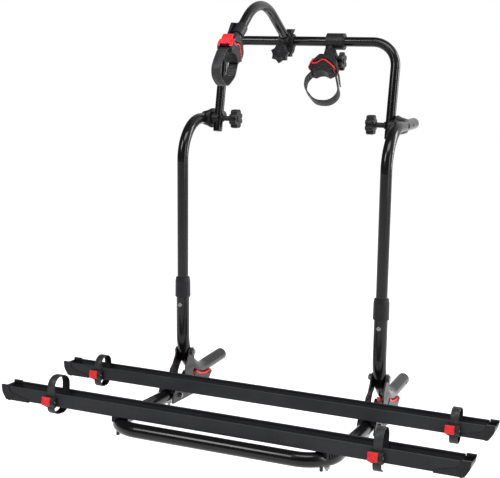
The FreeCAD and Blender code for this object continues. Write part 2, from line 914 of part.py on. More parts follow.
def clamp_bolt():
    """Bolt from inside the arm tube through clamp and leg to the knob."""
    inside = upper_radius - upper_wall
    corner = nut_across / 2 / cos(pi / 6)
    head_x = side_x - sqrt(inside ** 2 - corner ** 2) + 0.2
    length = head_x - knob_face_x - 6
    base = clamp_centre + Vector(head_x, 0, 0)
    return bolt(base, Vector(-1, 0, 0), clamp_bolt_radius, length, nut_across, bolt_head_height)


def lobed_knob(centre, axis, radius, thickness, lobes, scallop, depth):
    """A hand knob with scalloped edge; centre is the middle of its outer face."""
    direction = Vector(axis).normalize()
    body = Part.makeCylinder(radius, thickness)
    ring = radius + scallop - depth
    for step in range(lobes):
        angle = 2 * pi * step / lobes
        place = Vector(ring * cos(angle), ring * sin(angle), -1)
        body = body.cut(Part.makeCylinder(scallop, thickness + 2, place))
    crown = Part.makeCone(radius - 4, radius + 4, 8, Vector(0, 0, 0)).fuse(
        Part.makeCylinder(radius + 4, thickness, Vector(0, 0, 8))
    )
    base = Part.makeCone(radius * 1.5, radius * 0.7, thickness * 0.8, Vector(0, 0, thickness * 0.2)).fuse(
        Part.makeCylinder(radius * 1.5, thickness * 0.2)
    )
    body = body.common(crown).common(base)
    body.Placement = Placement(centre, Rotation(Vector(0, 0, 1), direction))
    return body


def clamp_knob():
    """Eight-lobed knob and stem on the right-hand hoop bolt."""
    face = clamp_centre + Vector(knob_face_x, 0, 0)
    body = lobed_knob(face, Vector(1, 0, 0), knob_radius, knob_thickness, 8, 8.0, 4.5)
    stem_end = hoop_leg_x - hoop_radius - leg_saddle_web - seat_gap
    stem = clamp_axis_rod(knob_face_x + knob_thickness / 2, stem_end, knob_stem_radius)
    flare = Part.makeCone(
        knob_stem_radius + 4, knob_stem_radius, 8, face + Vector(knob_thickness - 3, 0, 0), Vector(1, 0, 0)
    )
    bore = clamp_axis_rod(knob_face_x + 5, stem_end + 1, clamp_bolt_radius + running_gap)
    return body.fuse(stem).fuse(flare).cut(bore)


def bar_ring(x_from, x_to, inner, outer):
    """A ring round the hoop bar between two places along X."""
    start = bar_centre + Vector(x_from, 0, 0)
    end = bar_centre + Vector(x_to, 0, 0)
    return rod(start, end, outer).cut(rod(start, end, inner))


def bar_bush(x_middle, width):
    """Flanged bush that slides along the hoop bar and carries a holder clamp."""
    half = width / 2 + seat_gap
    inner = hoop_radius + running_gap
    sleeve = bar_ring(x_middle - half - bush_flange, x_middle + half + bush_flange, inner, bush_outer)
    for side in (-1, 1):
        edge = x_middle + side * half
        rim = edge + side * bush_flange
        flange = bar_ring(min(edge, rim), max(edge, rim), inner, bush_outer + 2.5)
        sleeve = sleeve.fuse(flange)
    return sleeve


def arm_directions():
    """Climbing and falling directions of the long arm."""
    climb = radians(arm_climb)
    drop = radians(arm_drop)
    return Vector(0, -cos(climb), sin(climb)), Vector(0, -cos(drop), -sin(drop))


def arm_path():
    """Centre line of the long arm, from its clamp to the holder."""
    up, down = arm_directions()
    base = Vector(arm_x, bar_centre.y, bar_centre.z)
    corner = base + up * arm_corner
    corners = [base + up * (ring_outer - 1.0), corner, corner + down * arm_fall]
    return rounded_path(corners, [arm_bend])


def arm_end():
    """Far end of the long arm's centre line."""
    up, down = arm_directions()
    return Vector(arm_x, bar_centre.y, bar_centre.z) + up * arm_corner + down * arm_fall


def arm_tube():
    """Bent tube of the long arm."""
    ring_space = rod(
        bar_centre + Vector(arm_x - 40, 0, 0), bar_centre + Vector(arm_x + 40, 0, 0), ring_outer
    )
    return bent_tube(arm_path(), arm_radius, arm_wall).cut(ring_space)


def ear_pair(x_middle, width, drop, reach_y):
    """Two ears under a clamp ring with a gap between them."""
    half_gap = 1.5
    thick = 8.0
    ears = []
    for side in (-1, 1):
        near = bar_centre.y + side * half_gap
        far = bar_centre.y + side * (half_gap + thick)
        ear = box(
            x_middle - width / 2,
            x_middle + width / 2,
            min(near, far),
            max(near, far),
            bar_centre.z - drop - reach_y,
            bar_centre.z - hoop_radius,
        )
        ears.append(ear)
    return ears[0].fuse(ears[1])


def arm_clamp():
    """Clamp of the long arm: ring, socket for the tube and two ears."""
    half = arm_clamp_width / 2
    up, down = arm_directions()
    base = Vector(arm_x, bar_centre.y, bar_centre.z)
    ring = rod(base - Vector(half, 0, 0), base + Vector(half, 0, 0), ring_outer)
    tube_space = rod(base, base + up * (ring_outer + 15), arm_radius)
    socket = rod(base, base + up * (ring_outer + 14), arm_radius + 3).cut(tube_space)
    ears = ear_pair(arm_x, 26.0, star_drop, 10.0)
    top_lug = Part.makeCone(7, 9, 8, base + Vector(8, 0, ring_outer - 2), Vector(0, 0, 1))
    bush_space = rod(base - Vector(40, 0, 0), base + Vector(40, 0, 0), ring_inner)
    slit = box(
        arm_x - 30, arm_x + 30, bar_centre.y - 1.5, bar_centre.y + 1.5, bar_centre.z - 80, bar_centre.z
    )
    bolt_hole = rod(
        Vector(arm_x, bar_centre.y - 40, bar_centre.z - star_drop),
        Vector(arm_x, bar_centre.y + 40, bar_centre.z - star_drop),
        holder_bolt_radius,
    )
    body = ring.fuse(socket).fuse(ears).fuse(top_lug)
    return body.cut(bush_space).cut(slit).cut(bolt_hole)


def knob_bolt(x, head_y, length, drop):
    """Bolt through a clamp's ears, pointing forward to its star knob."""
    base = Vector(x, head_y, bar_centre.z - drop)
    return bolt(base, Vector(0, -1, 0), holder_bolt_radius, length, 10.0, 4.0)


def star_knob(x, face_y, drop, stem_end_y):
    """Seven-lobed knob with its stem, on a holder clamp's bolt."""
    face = Vector(x, face_y, bar_centre.z - drop)
    body = lobed_knob(face, Vector(0, 1, 0), star_radius, star_thickness, 7, 8.0, 5.5)
    stem = rod(
        Vector(x, face_y + star_thickness / 2, face.z), Vector(x, stem_end_y, face.z), 7.0
    )
    bore = rod(
        Vector(x, face_y + 5, face.z), Vector(x, stem_end_y + 1, face.z), holder_bolt_radius + running_gap
    )
    return body.fuse(stem).cut(bore)


def head_frame(centre, across_axis, up_axis):
    """Placement of a holder head: u across the jaw, v through it, w up to its neck."""
    depth_axis = up_axis.cross(across_axis)
    return Placement(centre, Rotation(across_axis, depth_axis, up_axis, "ZXY"))


def head_slab(points, depth):
    """A (u, w) outline drawn out through the head."""
    face = outline(points, lambda u, w: Vector(u, -depth / 2, w))
    return face.extrude(Vector(0, depth, 0))


def softened(solid, half_depth, radius):
    """The slab with the rims of its two outer faces rounded."""
    rims = []
    for edge in solid.Edges:
        ends = [vertex.Y for vertex in edge.Vertexes]
        if all(abs(abs(y) - half_depth) < 1e-6 for y in ends) and ends[0] * ends[-1] > 0:
            rims.append(edge)
    return solid.makeFillet(radius, rims)


def strap_route(loop):
    """Centre line of a holder strap; loop gives its two sides and its lowest place."""
    near, far, low = loop
    corners = [(22, -12), (near, -36), (near - 3, low), (far, low + 2), (-30, -8)]
    points = [Vector(u, 0, w) for u, w in corners]
    return rounded_path(points, [18.0, 40.0, 44.0])


def strap_band(path, width, thickness):
    """A flat band along a wire that lies in the plane of u and w."""
    first = path.Edges[0]
    start = first.valueAt(first.FirstParameter)
    along = first.tangentAt(first.FirstParameter)
    side = Vector(0, 1, 0)
    normal = along.cross(side)
    corners = []
    for a, b in ((-1, -1), (1, -1), (1, 1), (-1, 1)):
        corners.append(start + side * (a * width / 2) + normal * (b * thickness / 2))
    section = Part.makePolygon(corners + corners[:1])
    return path.makePipeShell([section], True, False)


def head_outline():
    """Outer shape of the holder head without its neck; the lever sits at +u."""
    half = head_width / 2
    top = head_height / 2
    return [
        (-half, -6, 8.0),
        (-half + 1, 10, 12.0),
        (-half * 0.55, top - 6, 14.0),
        (half * 0.5, top, 12.0),
        (half - 6, 12, 12.0),
        (half - 6, -top + 2, 6.0),
        (half - 18, -top, 6.0),
        (6, -top + 12, 24.0),
        (-half * 0.5, -top, 7.0),
        (-half + 6, -top + 10, 6.0),
    ]


def liner_line():
    """Wavy parting line of the head, from -u to +u."""
    half = head_width / 2
    return [(-half - 2, -14), (-14, 9), (4, 14), (half - 12, 2), (half + 2, 4)]


def head_split(shift):
    """Everything above the parting line, lowered by shift."""
    line = liner_line()
    top = head_height
    points = [(u, w - shift) for u, w in line]
    start = points[0]
    end = points[-1]
    outline_points = [(start[0], start[1])]
    outline_points += [(u, w, 9.0) for u, w in points[1:-1]]
    outline_points += [(end[0], end[1]), (end[0], top), (start[0], top)]
    return outline_points


def holder_head(neck_end, neck_radius, loop):
    """Upper shell, liner and jaw of a holder head, each on its own."""
    block = softened(head_slab(head_outline(), head_depth), head_depth / 2, head_round)
    neck = rod(Vector(neck_end.x / 2, 0, 0), neck_end, neck_radius)
    room = 2 * seat_gap
    strap_space = strap_band(strap_route(loop), holder_strap_width + room, holder_strap_thickness + room)
    above = head_slab(head_split(0), 3 * head_depth)
    above_liner = head_slab(head_split(liner_thickness), 3 * head_depth)
    body = block.fuse(neck).cut(strap_space)
    shell = body.common(above)
    liner = body.common(above_liner).cut(above)
    jaw = block.cut(strap_space).cut(above_liner)
    return shell, liner, jaw


def release_lever():
    """Release lever on the shoulder of a holder head."""
    half = head_width / 2
    seat = half - 6 + seat_gap
    barrel = lever_barrel
    points = [
        (seat, -14, 1.5),
        (half + 2, -14, 2.5),
        (half + 3, 4, 10.0),
        (seat + 2 * barrel, lever_top, barrel),
        (seat, lever_top, barrel),
    ]
    return softened(head_slab(points, lever_width), lever_width / 2, lever_round)


def wheel_strap_path(y_centre, x, arch, tail_depth, tail_end):
    """Side view of a wheel strap: up from the channel, over the tyre, down the front."""
    inner = y_centre + rail_width / 2 - bead_width - strap_clearance - strap_thickness / 2
    front = y_centre - rail_width / 2 - strap_clearance - strap_thickness / 2
    foot = -rail_height + rail_floor + seat_gap
    low = -rail_height - tail_depth
    corners = [
        Vector(x, inner, foot),
        Vector(x, inner, arch),
        Vector(x, front, arch),
        Vector(x, front, low),
        Vector(x, y_centre + tail_end, low),
    ]
    radii = [strap_crown, strap_crown, tail_bend]
    if tail_end > 0:
        corners.append(Vector(x, y_centre + tail_end, -rail_height - tail_gap))
        radii.append(tail_bend)
    return rounded_path(corners, radii)


def wheel_strap_band(y_centre, x, arch, tail_depth, tail_end, slant):
    """Wheel strap with its anchor under the rear bead of the channel."""
    path = wheel_strap_path(y_centre, x, arch, tail_depth, tail_end)
    start = path.Edges[0].valueAt(path.Edges[0].FirstParameter)
    half = strap_width / 2
    thick = strap_thickness / 2
    places = ((-half, -thick), (half, -thick), (half, thick), (-half, thick))
    corners = [start + Vector(a, b, 0) for a, b in places]
    section = Part.makePolygon(corners + corners[:1])
    band = path.makePipeShell([section], True, False)
    wall = y_centre + rail_width / 2 - rail_wall - seat_gap
    top = -1.5 * bead_height - strap_clearance
    anchor = box(x - half, x + half, start.y, wall, start.z + anchor_lift, top)
    band = band.fuse(anchor)
    if slant == 0:
        return band
    lean = Matrix()
    lean.A12 = slant / rail_width
    lean.A14 = -lean.A12 * (y_centre - rail_width / 2)
    return band.transformGeometry(lean)


def wheel_buckle(y_centre, x_middle):
    """Ratchet housing on the front of a wheel strap."""
    back = y_centre - rail_width / 2 - strap_clearance - strap_thickness
    top = -8.0
    low = top - buckle_height
    points = [
        (back, low, 2.0),
        (back, top, 2.0),
        (back - buckle_depth * 0.6, top, 3.0),
        (back - buckle_depth, top - 8, 3.0),
        (back - buckle_depth, low + 4, 3.0),
        (back - buckle_depth * 0.5, low - 4, 3.0),
    ]
    return slab(points, x_middle - buckle_width / 2, x_middle + buckle_width / 2)


def wheel_release(y_centre, x_middle):
    """Release lever on the front of a wheel buckle."""
    back = y_centre - rail_width / 2 - strap_clearance - strap_thickness - buckle_depth - seat_gap
    top = -9.0
    low = top - release_height
    points = [
        (back, low, 1.0),
        (back, top, release_barrel),
        (back - 2 * release_barrel, top, release_barrel),
        (back - release_thickness, top - 8, 10.0),
        (back - release_thickness * 0.8, low, 2.0),
    ]
    middle = x_middle + release_offset
    return slab(points, middle - release_width / 2, middle + release_width / 2)


def short_clamp():
    """Collar of the short holder round the bar's bush, with its knob ears."""
    half = short_clamp_width / 2
    base = Vector(short_x, bar_centre.y, bar_centre.z)
    ring = rod(base - Vector(half, 0, 0), base + Vector(half, 0, 0), ring_outer + 3.5)
    bush_space = rod(base - Vector(40, 0, 0), base + Vector(40, 0, 0), ring_inner)
    return ring, bush_space


def side_knob_axis(x_from, x_to, radius):
    """A rod on the axis of the short holder's side knob."""
    y = bar_centre.y + side_knob_forward
    z = bar_centre.z - side_knob_drop
    return rod(Vector(x_from, y, z), Vector(x_to, y, z), radius)


def short_knob():
    """Lobed side knob with its stud, screwed into the short holder's neck."""
    face = Vector(side_knob_x, bar_centre.y + side_knob_forward, bar_centre.z - side_knob_drop)
    body = lobed_knob(face, Vector(-1, 0, 0), side_knob_radius, side_knob_thickness, 7, 8.0, 5.5)
    neck_x = short_x + short_head_shift
    return body.fuse(side_knob_axis(side_knob_x - side_knob_thickness, neck_x, holder_bolt_radius))


def write(name, solids):
    """Writes one node as a STEP file, as one solid or a group of them."""
    pieces = solids if isinstance(solids, list) else [solids]
    flat = [piece for shape in pieces for piece in shape.Solids]
    shape = flat[0] if len(flat) == 1 else Part.makeCompound(flat)
    shape.exportStep("parts/" + name + ".step")
    volume = sum(piece.Volume for piece in flat)
    good = all(piece.isValid() for piece in flat)
    print(name, len(flat), "solids", round(volume / 1000, 1), "cm3", "valid" if good else "NOT VALID")


def on_platform(solids):
    """Moves pieces from the platform's own frame to the frame of the part."""
    pieces = solids if isinstance(solids, list) else [solids]
    return [placed(piece, platform_place) for piece in pieces]


def placed(solid, place):
    """The solid at its placement."""
    copy = solid.copy()
    copy.Placement = place.multiply(copy.Placement)
    return copy


def build_lower_frame():
    """Everything that stays with the vehicle's wall."""
    tube = lower_tube()
    write("lower_tube_right", tube)
    write("lower_tube_left", mirrored(tube))
    plug = end_plug(side_x, 0, lower_radius - lower_wall, lower_radius, lower_hole_y)
    write("lower_tube_plugs", both_sides(plug))
    write("height_collars", both_sides(height_collar()))
    write("height_screws", both_sides(height_screw()))
    write("pivot_bushes", both_sides(pivot_bush()))
    write("pivot_bolts", both_sides(pivot_bolt()))
    write("pivot_nuts", both_sides(pivot_nut()))


def build_platform():
    """The folding wheel platform."""
    places = rail_bolt_places()
    write("rail_rear", on_platform(rail(0, places[0][0])))
    write("rail_front", on_platform(rail(-rail_spacing, places[1][0])))
    caps = []
    for y in (0.0, -rail_spacing):
        caps += both_sides(rail_cap(y))
    write("rail_caps", on_platform(caps))
    solid_bar = swept(foot_bar_path(), bar_radius)
    write("foot_bar", on_platform(foot_bar()))
    write("foot_bar_plugs", on_platform(both_sides(bar_plug())))
    saddles = []
    bolts = []
    nuts = []
    for x, y in places:
        saddles += both_sides(rail_saddle(x, y, solid_bar))
        bolts += both_sides(rail_bolt(x, y))
        nuts += both_sides(frame_nut(x, y))
    cross_bolts = []
    for y, z in cross_bolt_places:
        cross_bolts += both_sides(hinge_bolt(y, z))
        nuts += both_sides(hinge_nut(y, z))
    write("rail_saddles", on_platform(saddles))
    write("rail_bolts", on_platform(bolts))
    write("frame_nuts", on_platform(nuts))
    write("hinge_bolts", on_platform(cross_bolts))
    plates = [hinge_plate(-1), hinge_plate(1)]
    write("hinge_plates_right", on_platform(plates))
    write("hinge_plates_left", on_platform([mirrored(plate) for plate in plates]))
    spacers = hinge_spacers()
    write("hinge_spacers", on_platform(spacers + [mirrored(ring) for ring in spacers]))
    write("foot_pegs", on_platform(both_sides(foot_peg(solid_bar))))
    write("lever_pins", on_platform(both_sides(lever_pin())))


def build_lock_levers():
    """The two lock levers with their pads."""
    channel = lock_channel()
    pad = lock_pad()
    write("lock_lever_right", channel)
    write("lock_lever_left", mirrored(channel))
    write("lock_pad_right", pad)
    write("lock_pad_left", mirrored(pad))


def build_upper_frame():
    """Sliding upper tubes with the clamps and bolts of the hoop."""
    tube = upper_tube()
    write("upper_tube_right", tube)
    write("upper_tube_left", mirrored(tube))
    plug = end_plug(side_x, upper_arm_z, upper_radius - upper_wall, upper_radius, upper_hole_y)
    write("upper_tube_plugs", both_sides(plug))
    write("tube_clamps", both_sides(tube_clamp()))
    write("clamp_bolts", both_sides(clamp_bolt()))
    knob = clamp_knob()
    write("clamp_knob_right", knob)
    write("clamp_knob_left", mirrored(knob))


def build_hoop():
    """The hoop with its plugs and leg seats."""
    write("hoop_tube", hoop_tube())
    write("hoop_plugs", both_sides(hoop_plug()))
    seats = leg_saddles()
    write("leg_saddles", seats + [mirrored(seat) for seat in seats])


def build_long_holder():
    """The long arm with its clamp, knob and holder head."""
    write("arm_bush", bar_bush(arm_x, arm_clamp_width))
    write("arm_clamp", arm_clamp())
    write("arm_tube", arm_tube())
    ear_face = bar_centre.y + 9.5
    write("arm_bolt", knob_bolt(arm_x, ear_face, star_reach - 6 + 9.5, star_drop))
    knob = star_knob(arm_x, bar_centre.y - star_reach, star_drop, bar_centre.y - 9.5 - seat_gap)
    write("arm_knob", knob)
    lean = radians(long_head_lean)
    up_axis = Vector(0, sin(lean), cos(lean))
    across_axis = Vector(0, -cos(lean), sin(lean))
    up, down = arm_directions()
    tube_end = arm_end()
    centre = tube_end + down * long_head_reach + Vector(0, -down.z, down.y) * long_head_sag
    place = head_frame(centre, across_axis, up_axis)
    neck_end = place.inverse().multVec(tube_end + down * long_neck_radius)
    shell, liner, jaw = holder_head(neck_end, long_neck_radius, long_loop)
    space_start = tube_end + down * seat_gap
    socket_space = rod(space_start, tube_end - down * 2 * arm_socket_reach, arm_radius + running_gap)
    socket_end = tube_end + down * arm_socket_root
    socket = rod(socket_end, tube_end - down * arm_socket_reach, arm_radius + arm_socket_wall)
    shell = placed(shell, place).fuse(socket).cut(socket_space)
    write("long_head", [shell, placed(jaw, place)])
    write("long_liner", placed(liner, place))
    write("long_lever", placed(release_lever(), place))
    strap = strap_band(strap_route(long_loop), holder_strap_width, holder_strap_thickness)
    write("long_strap", placed(strap, place))


def build_short_holder():
    """The short holder with its collar, knob and head."""
    write("short_bush", bar_bush(short_x, short_clamp_width))
    lean = radians(short_head_lean)
    up_axis = Vector(0, sin(lean), cos(lean))
    across_axis = Vector(-1, 0, 0)
    centre = bar_centre + Vector(short_x + short_head_shift, 0, 0) - up_axis * short_head_drop
    place = head_frame(centre, across_axis, up_axis)
    ring, bush_space = short_clamp()
    neck_x = short_x + short_head_shift
    boss = side_knob_axis(neck_x, side_knob_x - side_knob_thickness - seat_gap, side_boss_radius)
    stud_hole = side_knob_axis(neck_x - seat_gap, side_knob_x, holder_bolt_radius + running_gap)
    neck_end = Vector(0, 0, short_head_drop)
    shell, liner, jaw = holder_head(neck_end, short_neck_radius, short_loop)
    knob_back = side_knob_x - side_knob_thickness - seat_gap
    relief = side_knob_axis(knob_back, side_knob_x + side_knob_thickness, side_knob_radius + knob_room)
    shell = placed(shell, place).fuse(ring).fuse(boss).cut(bush_space).cut(stud_hole).cut(relief)
    write("short_head", [shell, placed(jaw, place)])
    write("short_knob", short_knob())
    write("short_liner", placed(liner, place))
    write("short_lever", placed(release_lever(), place))
    strap = strap_band(strap_route(short_loop), holder_strap_width, holder_strap_thickness)
    write("short_strap", placed(strap, place))


def build_wheel_straps():
    """The four wheel straps with their buckles and release levers."""
    for name, (side, inset, y, arch, tail_depth, tail_end, slant) in wheel_straps.items():
        x = side * (overall_length / 2 - inset)
        band = wheel_strap_band(y, x, arch, tail_depth, tail_end, slant)
        buckle = wheel_buckle(y, x)
        write("wheel_strap_" + name, on_platform([band, buckle]))
        write("wheel_lever_" + name, on_platform(wheel_release(y, x)))


os.makedirs("parts", exist_ok=True)
build_lower_frame()
build_platform()
build_lock_levers()
build_upper_frame()
build_hoop()
build_long_holder()
build_short_holder()
build_wheel_straps()
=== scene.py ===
import json
import math
import bmesh
import bpy
from mathutils import Matrix, Vector


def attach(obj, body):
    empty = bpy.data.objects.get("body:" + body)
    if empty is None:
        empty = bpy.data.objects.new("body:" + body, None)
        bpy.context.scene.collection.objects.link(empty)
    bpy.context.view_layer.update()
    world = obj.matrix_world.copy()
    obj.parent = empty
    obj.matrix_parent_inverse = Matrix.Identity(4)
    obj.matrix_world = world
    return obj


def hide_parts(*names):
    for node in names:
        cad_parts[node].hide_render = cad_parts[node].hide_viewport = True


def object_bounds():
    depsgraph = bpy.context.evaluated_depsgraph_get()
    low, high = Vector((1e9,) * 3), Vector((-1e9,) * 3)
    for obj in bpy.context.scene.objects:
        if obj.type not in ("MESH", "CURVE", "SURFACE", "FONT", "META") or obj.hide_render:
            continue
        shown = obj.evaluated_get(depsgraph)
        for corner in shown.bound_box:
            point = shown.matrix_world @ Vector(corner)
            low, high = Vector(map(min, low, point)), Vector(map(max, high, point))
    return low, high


# Visual model of a folding bicycle rack for the rear wall of a motorhome.
# The CAD model gives the frame. Sizes are written in millimetres, and keep() turns them to metres.

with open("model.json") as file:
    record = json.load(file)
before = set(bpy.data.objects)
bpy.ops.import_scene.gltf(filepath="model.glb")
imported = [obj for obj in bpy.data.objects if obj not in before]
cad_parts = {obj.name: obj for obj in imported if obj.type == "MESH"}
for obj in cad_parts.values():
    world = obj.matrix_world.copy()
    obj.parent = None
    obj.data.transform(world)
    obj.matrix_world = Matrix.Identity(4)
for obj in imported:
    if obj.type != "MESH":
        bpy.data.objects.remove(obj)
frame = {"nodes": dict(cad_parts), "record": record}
cad_low, cad_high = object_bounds()
scene = bpy.context.scene
MM = 0.001

# Wheel channels, as in the CAD model
overall_length = 1290.0
rail_spacing = 308.0
rail_width = 63.0
rail_height = 36.0
rail_wall = 2.2
rail_floor = 2.6
bead_width = 4.6
bead_height = 4.0
seat_gap = 0.3
platform = Matrix.Translation((0, -358.0, 35.0)) @ Matrix.Rotation(math.radians(-4.18), 4, "X")

# Wheel straps, with their buckles and levers
strap_width = 22.0
strap_thickness = 2.4
strap_clearance = 0.6
strap_crown = 27.0
tail_bend = 20.0
tail_gap = 1.6
buckle_width = 36.0
buckle_height = 26.0
buckle_depth = 9.0
buckle_top = -8.0
lever_offset = -8.0
lever_width = 25.0
lever_height = 24.0
lever_thickness = 5.0
lever_top = -9.0
lever_barrel = 2.2
lever_ridges = 3
# For each one: end of the rail, distance from it, rail, arch height, tail depth, tail end, slant
wheel_straps = {
    "front_left": (-1, 161.5, -rail_spacing, 44.0, 23.0, 20.0, 10.0),
    "rear_left": (-1, 120.0, 0.0, 30.0, 24.0, 20.0, 0.0),
    "front_right": (1, 221.0, -rail_spacing, 42.0, 26.0, -8.0, 0.0),
    "rear_right": (1, 106.0, 0.0, 29.0, 27.0, 14.0, 0.0),
}

# Hoop, its clamps and the bar on top, as in the CAD model
clamp_centre = Vector((0, -112.0, 767.0))
clamp_hub_x = 281.0
hoop_leg_x = 263.4
hoop_radius = 13.5
hoop_lean = math.radians(11.45)
hoop_height = 233.0
bar_centre = clamp_centre + Vector((0, math.sin(hoop_lean), math.cos(hoop_lean))) * hoop_height
arm_x = -66.0
arm_climb = math.radians(31.0)
arm_drop = math.radians(36.6)
arm_runs = (246.0, 170.0)
short_x = 70.0

# Holder heads: u runs across the jaw, v through it, w up to its neck
head_width = 78.0
head_depth = 40.0
long_lean = math.radians(35.0)
long_past_tube = (66.1, 5.3)
short_lean = math.radians(38.0)
short_below_bar = 87.0
liner_thickness = 3.8
press_width = 27.0
press_seat = 5.7
press_barrel = 2.4
press_top = 18.0
press_foot = -14.0
press_ridges = 4
holder_strap_width = 26.0
holder_strap_thickness = 3.0
slot_depth = 13.0
short_tail_width = 20.0
short_tail_thickness = 2.4
# Corners of the straps as (u, w), where a third number rounds a corner
long_loop = [
    (22, -12), (47, -38, 26.0), (52, -84, 60.0), (44, -111, 30.0),
    (-12, -112, 34.0), (-38, -62, 40.0), (-30, -8),
]
short_loop = [
    (22, -12), (44, -48, 30.0), (41, -82, 50.0), (0, -125, 44.0),
    (-48, -125, 32.0), (-63, -92, 30.0), (-30, -8),
]
short_tail = [(-35, -4), (-45, -24, 14.0), (-53, -48, 60.0), (-60, -68)]
liner_line = [(-35.6, -17.4), (-17, -2, 14.0), (2, 12, 12.0), (21, -4.6, 8.0), (33.4, -4.0)]
nose_outline = [
    (31, 6), (34.5, 3, 4.0), (39.5, -9, 9.0), (40.5, -19, 6.0), (36, -27, 5.0), (30, -27),
]
nose_edge = 1.8
shoulder_outline = [(10, 26), (5, 76, 7.0), (-21, 93, 5.0), (-27, 60, 5.0), (-20, 22)]
shoulder_span = (-20.0, -13.6)
neck_outline = [(4, 14), (4, 50, 3.0), (-24, 52, 6.0), (-27, 34, 8.0), (-27, 14)]
neck_span = (-14.0, 14.0)
head_screws = ((-20, 11), (14, -19))
# Radius and rise of the small round heads
head_screw_size = (2.2, 0.9)
buckle_pin_size = (2.6, 1.6)

# Knobs: radius, thickness, lobes, notch depth, pointed lobes, stem radius, whole length
clamp_knob = (28.5, 22.0, 8, 6.5, False, 7.4, 49.0)
star_knob = (28.0, 17.0, 7, 6.0, True, 6.6, 54.0)
side_knob = (26.0, 15.0, 6, 9.0, False, 5.0, 30.0)
# Their profile: share of the radius, height from the front or back face, share of the notch
knob_front = [
    (0.05, -1.4, 0), (0.27, -1.4, 0), (0.31, -0.6, 0), (0.32, 1.6, 0), (0.40, 1.8, 0),
    (0.66, 1.0, 0.35), (0.86, 0.2, 0.8), (0.95, 0.6, 1), (0.99, 2.2, 1), (1.0, 4.5, 1),
]
knob_back = [(1.0, -5.0, 1), (0.99, -2.2, 1), (0.94, -0.6, 1), (0.84, 0, 0.9), (0.60, 0.6, 0.4)]
steps_per_lobe = 18
notch_sharpness = 2.2
clamp_knob_face_x = 197.0
star_face = Vector((arm_x, -64.0, -35.0))
side_face = Vector((117.0, -23.0, -55.0))

# Clamp bodies: distance from the middle, half depth and half height of each section
clamp_sections = [
    (281.6, 27.5, 27.0),
    (282.6, 29.5, 29.0),
    (285.5, 30.5, 28.5),
    (290.0, 31.0, 25.5),
    (297.0, 31.0, 23.0),
    (305.0, 29.0, 21.0),
    (309.5, 27.0, 19.5),
    (310.8, 24.5, 17.5),
]
clamp_squareness = 0.72
clamp_steps = 56
# Round forms as (radius, height)
seat_profile = [(17.0, 0), (18.0, 1.2), (18.0, 18.5), (16.8, 20.9), (14.0, 22.0), (0.1, 22.2)]
washer_profile = [(9.5, 0), (10.5, 1.0), (10.5, 5.0), (0.1, 5.4)]
screw_profile = [
    (5.0, 0), (5.5, 5), (8.0, 13), (12.2, 22), (12.6, 24.5), (11.0, 25.5), (1.0, 25.0),
]
washer_reach = 3.4
# Ears of the arm's clamp as (z, x) corners, and their faces from the middle of the bar
ear_outline = [(995, -87), (952, -87, 6.0), (950.5, -45.5, 22.0), (995, -45.5)]
ear_faces = (1.3, 9.7)
screw_foot = Vector((-56.0, bar_centre.y, 1004.0))

# Turn the x of a drawn-out outline to the v of a head, or to the y of the rack
through_head = Matrix(((0, 1, 0, 0), (1, 0, 0, 0), (0, 0, 1, 0), (0, 0, 0, 1)))
through_rack = Matrix(((0, 0, 1, 0), (1, 0, 0, 0), (0, 1, 0, 0), (0, 0, 0, 1)))
as_drawn = Matrix.Identity(4)

# Finishes of the record's material slots; scales are per metre and depths in metres
finishes = {
    "gloss_black": dict(
        dark=(0.0030, 0.0030, 0.0036), light=(0.0050, 0.0050, 0.0058), rough=(0.17, 0.24),
        mottle=14, grain=420, depth=0.00001,
        Specular_IOR_Level=0.24, Coat_Weight=0.12, Coat_Roughness=0.06,
    ),
    "plate_black": dict(
        dark=(0.0055, 0.0055, 0.0065), light=(0.0095, 0.0095, 0.0110), rough=(0.30, 0.42),
        mottle=30, grain=900, depth=0.00004, Specular_IOR_Level=0.28,
    ),
    "dark_rail": dict(
        dark=(0.0230, 0.0235, 0.0265), light=(0.0310, 0.0315, 0.0350), rough=(0.36, 0.48),
        mottle=9, grain=1400, depth=0.00004, stretch=(0.015, 1, 1), edge=0.0008,
        Specular_IOR_Level=0.12,
    ),
    "black_plastic": dict(
        dark=(0.0085, 0.0085, 0.0098), light=(0.0150, 0.0150, 0.0168), rough=(0.34, 0.50),
        mottle=55, grain=1900, depth=0.00007, edge=0.0008, Specular_IOR_Level=0.22,
    ),
    "red_plastic": dict(
        dark=(0.66, 0.012, 0.018), light=(0.80, 0.022, 0.028), rough=(0.30, 0.44),
        mottle=70, grain=1700, depth=0.00005, edge=0.0006, Specular_IOR_Level=0.35,
    ),
    "clear_plug": dict(
        dark=(0.72, 0.74, 0.75), light=(0.86, 0.87, 0.88), rough=(0.26, 0.4),
        mottle=120, grain=1500, depth=0.00005,
        Transmission_Weight=0.3, Subsurface_Weight=0.3, Subsurface_Scale=0.004,
    ),
    "black_rubber": dict(
        dark=(0.0150, 0.0155, 0.0170), light=(0.0240, 0.0245, 0.0265), rough=(0.38, 0.55),
        mottle=40, grain=1300, depth=0.00006, Specular_IOR_Level=0.34,
    ),
    "zinc_steel": dict(
        dark=(0.20, 0.205, 0.21), light=(0.30, 0.30, 0.295), rough=(0.28, 0.44),
        mottle=220, grain=2400, depth=0.00004, Metallic=1.0,
    ),
    "nylon_bush": dict(
        dark=(0.020, 0.020, 0.022), light=(0.032, 0.032, 0.035), rough=(0.34, 0.46),
        mottle=80, grain=1600, depth=0.00006, Specular_IOR_Level=0.35,
    ),
}
bump_strength = 0.6
wear_scale = 3.1
# Share of the noise that is stretched to a finish's limits, for its gloss and for its colour
gloss_span = (0.3, 0.7)
colour_span = (0.32, 0.68)

# Floor, backdrop, lamps and camera, in metres and watts
floor_reach = 9.0
floor_drop = 0.12
floor_grey = 0.6
floor_glow = 0.77
sky_light = 0.42
backdrop_side = (0.72, 0.69, 0.0)
backdrop_full = 0.75
backdrop_dim = 0.10
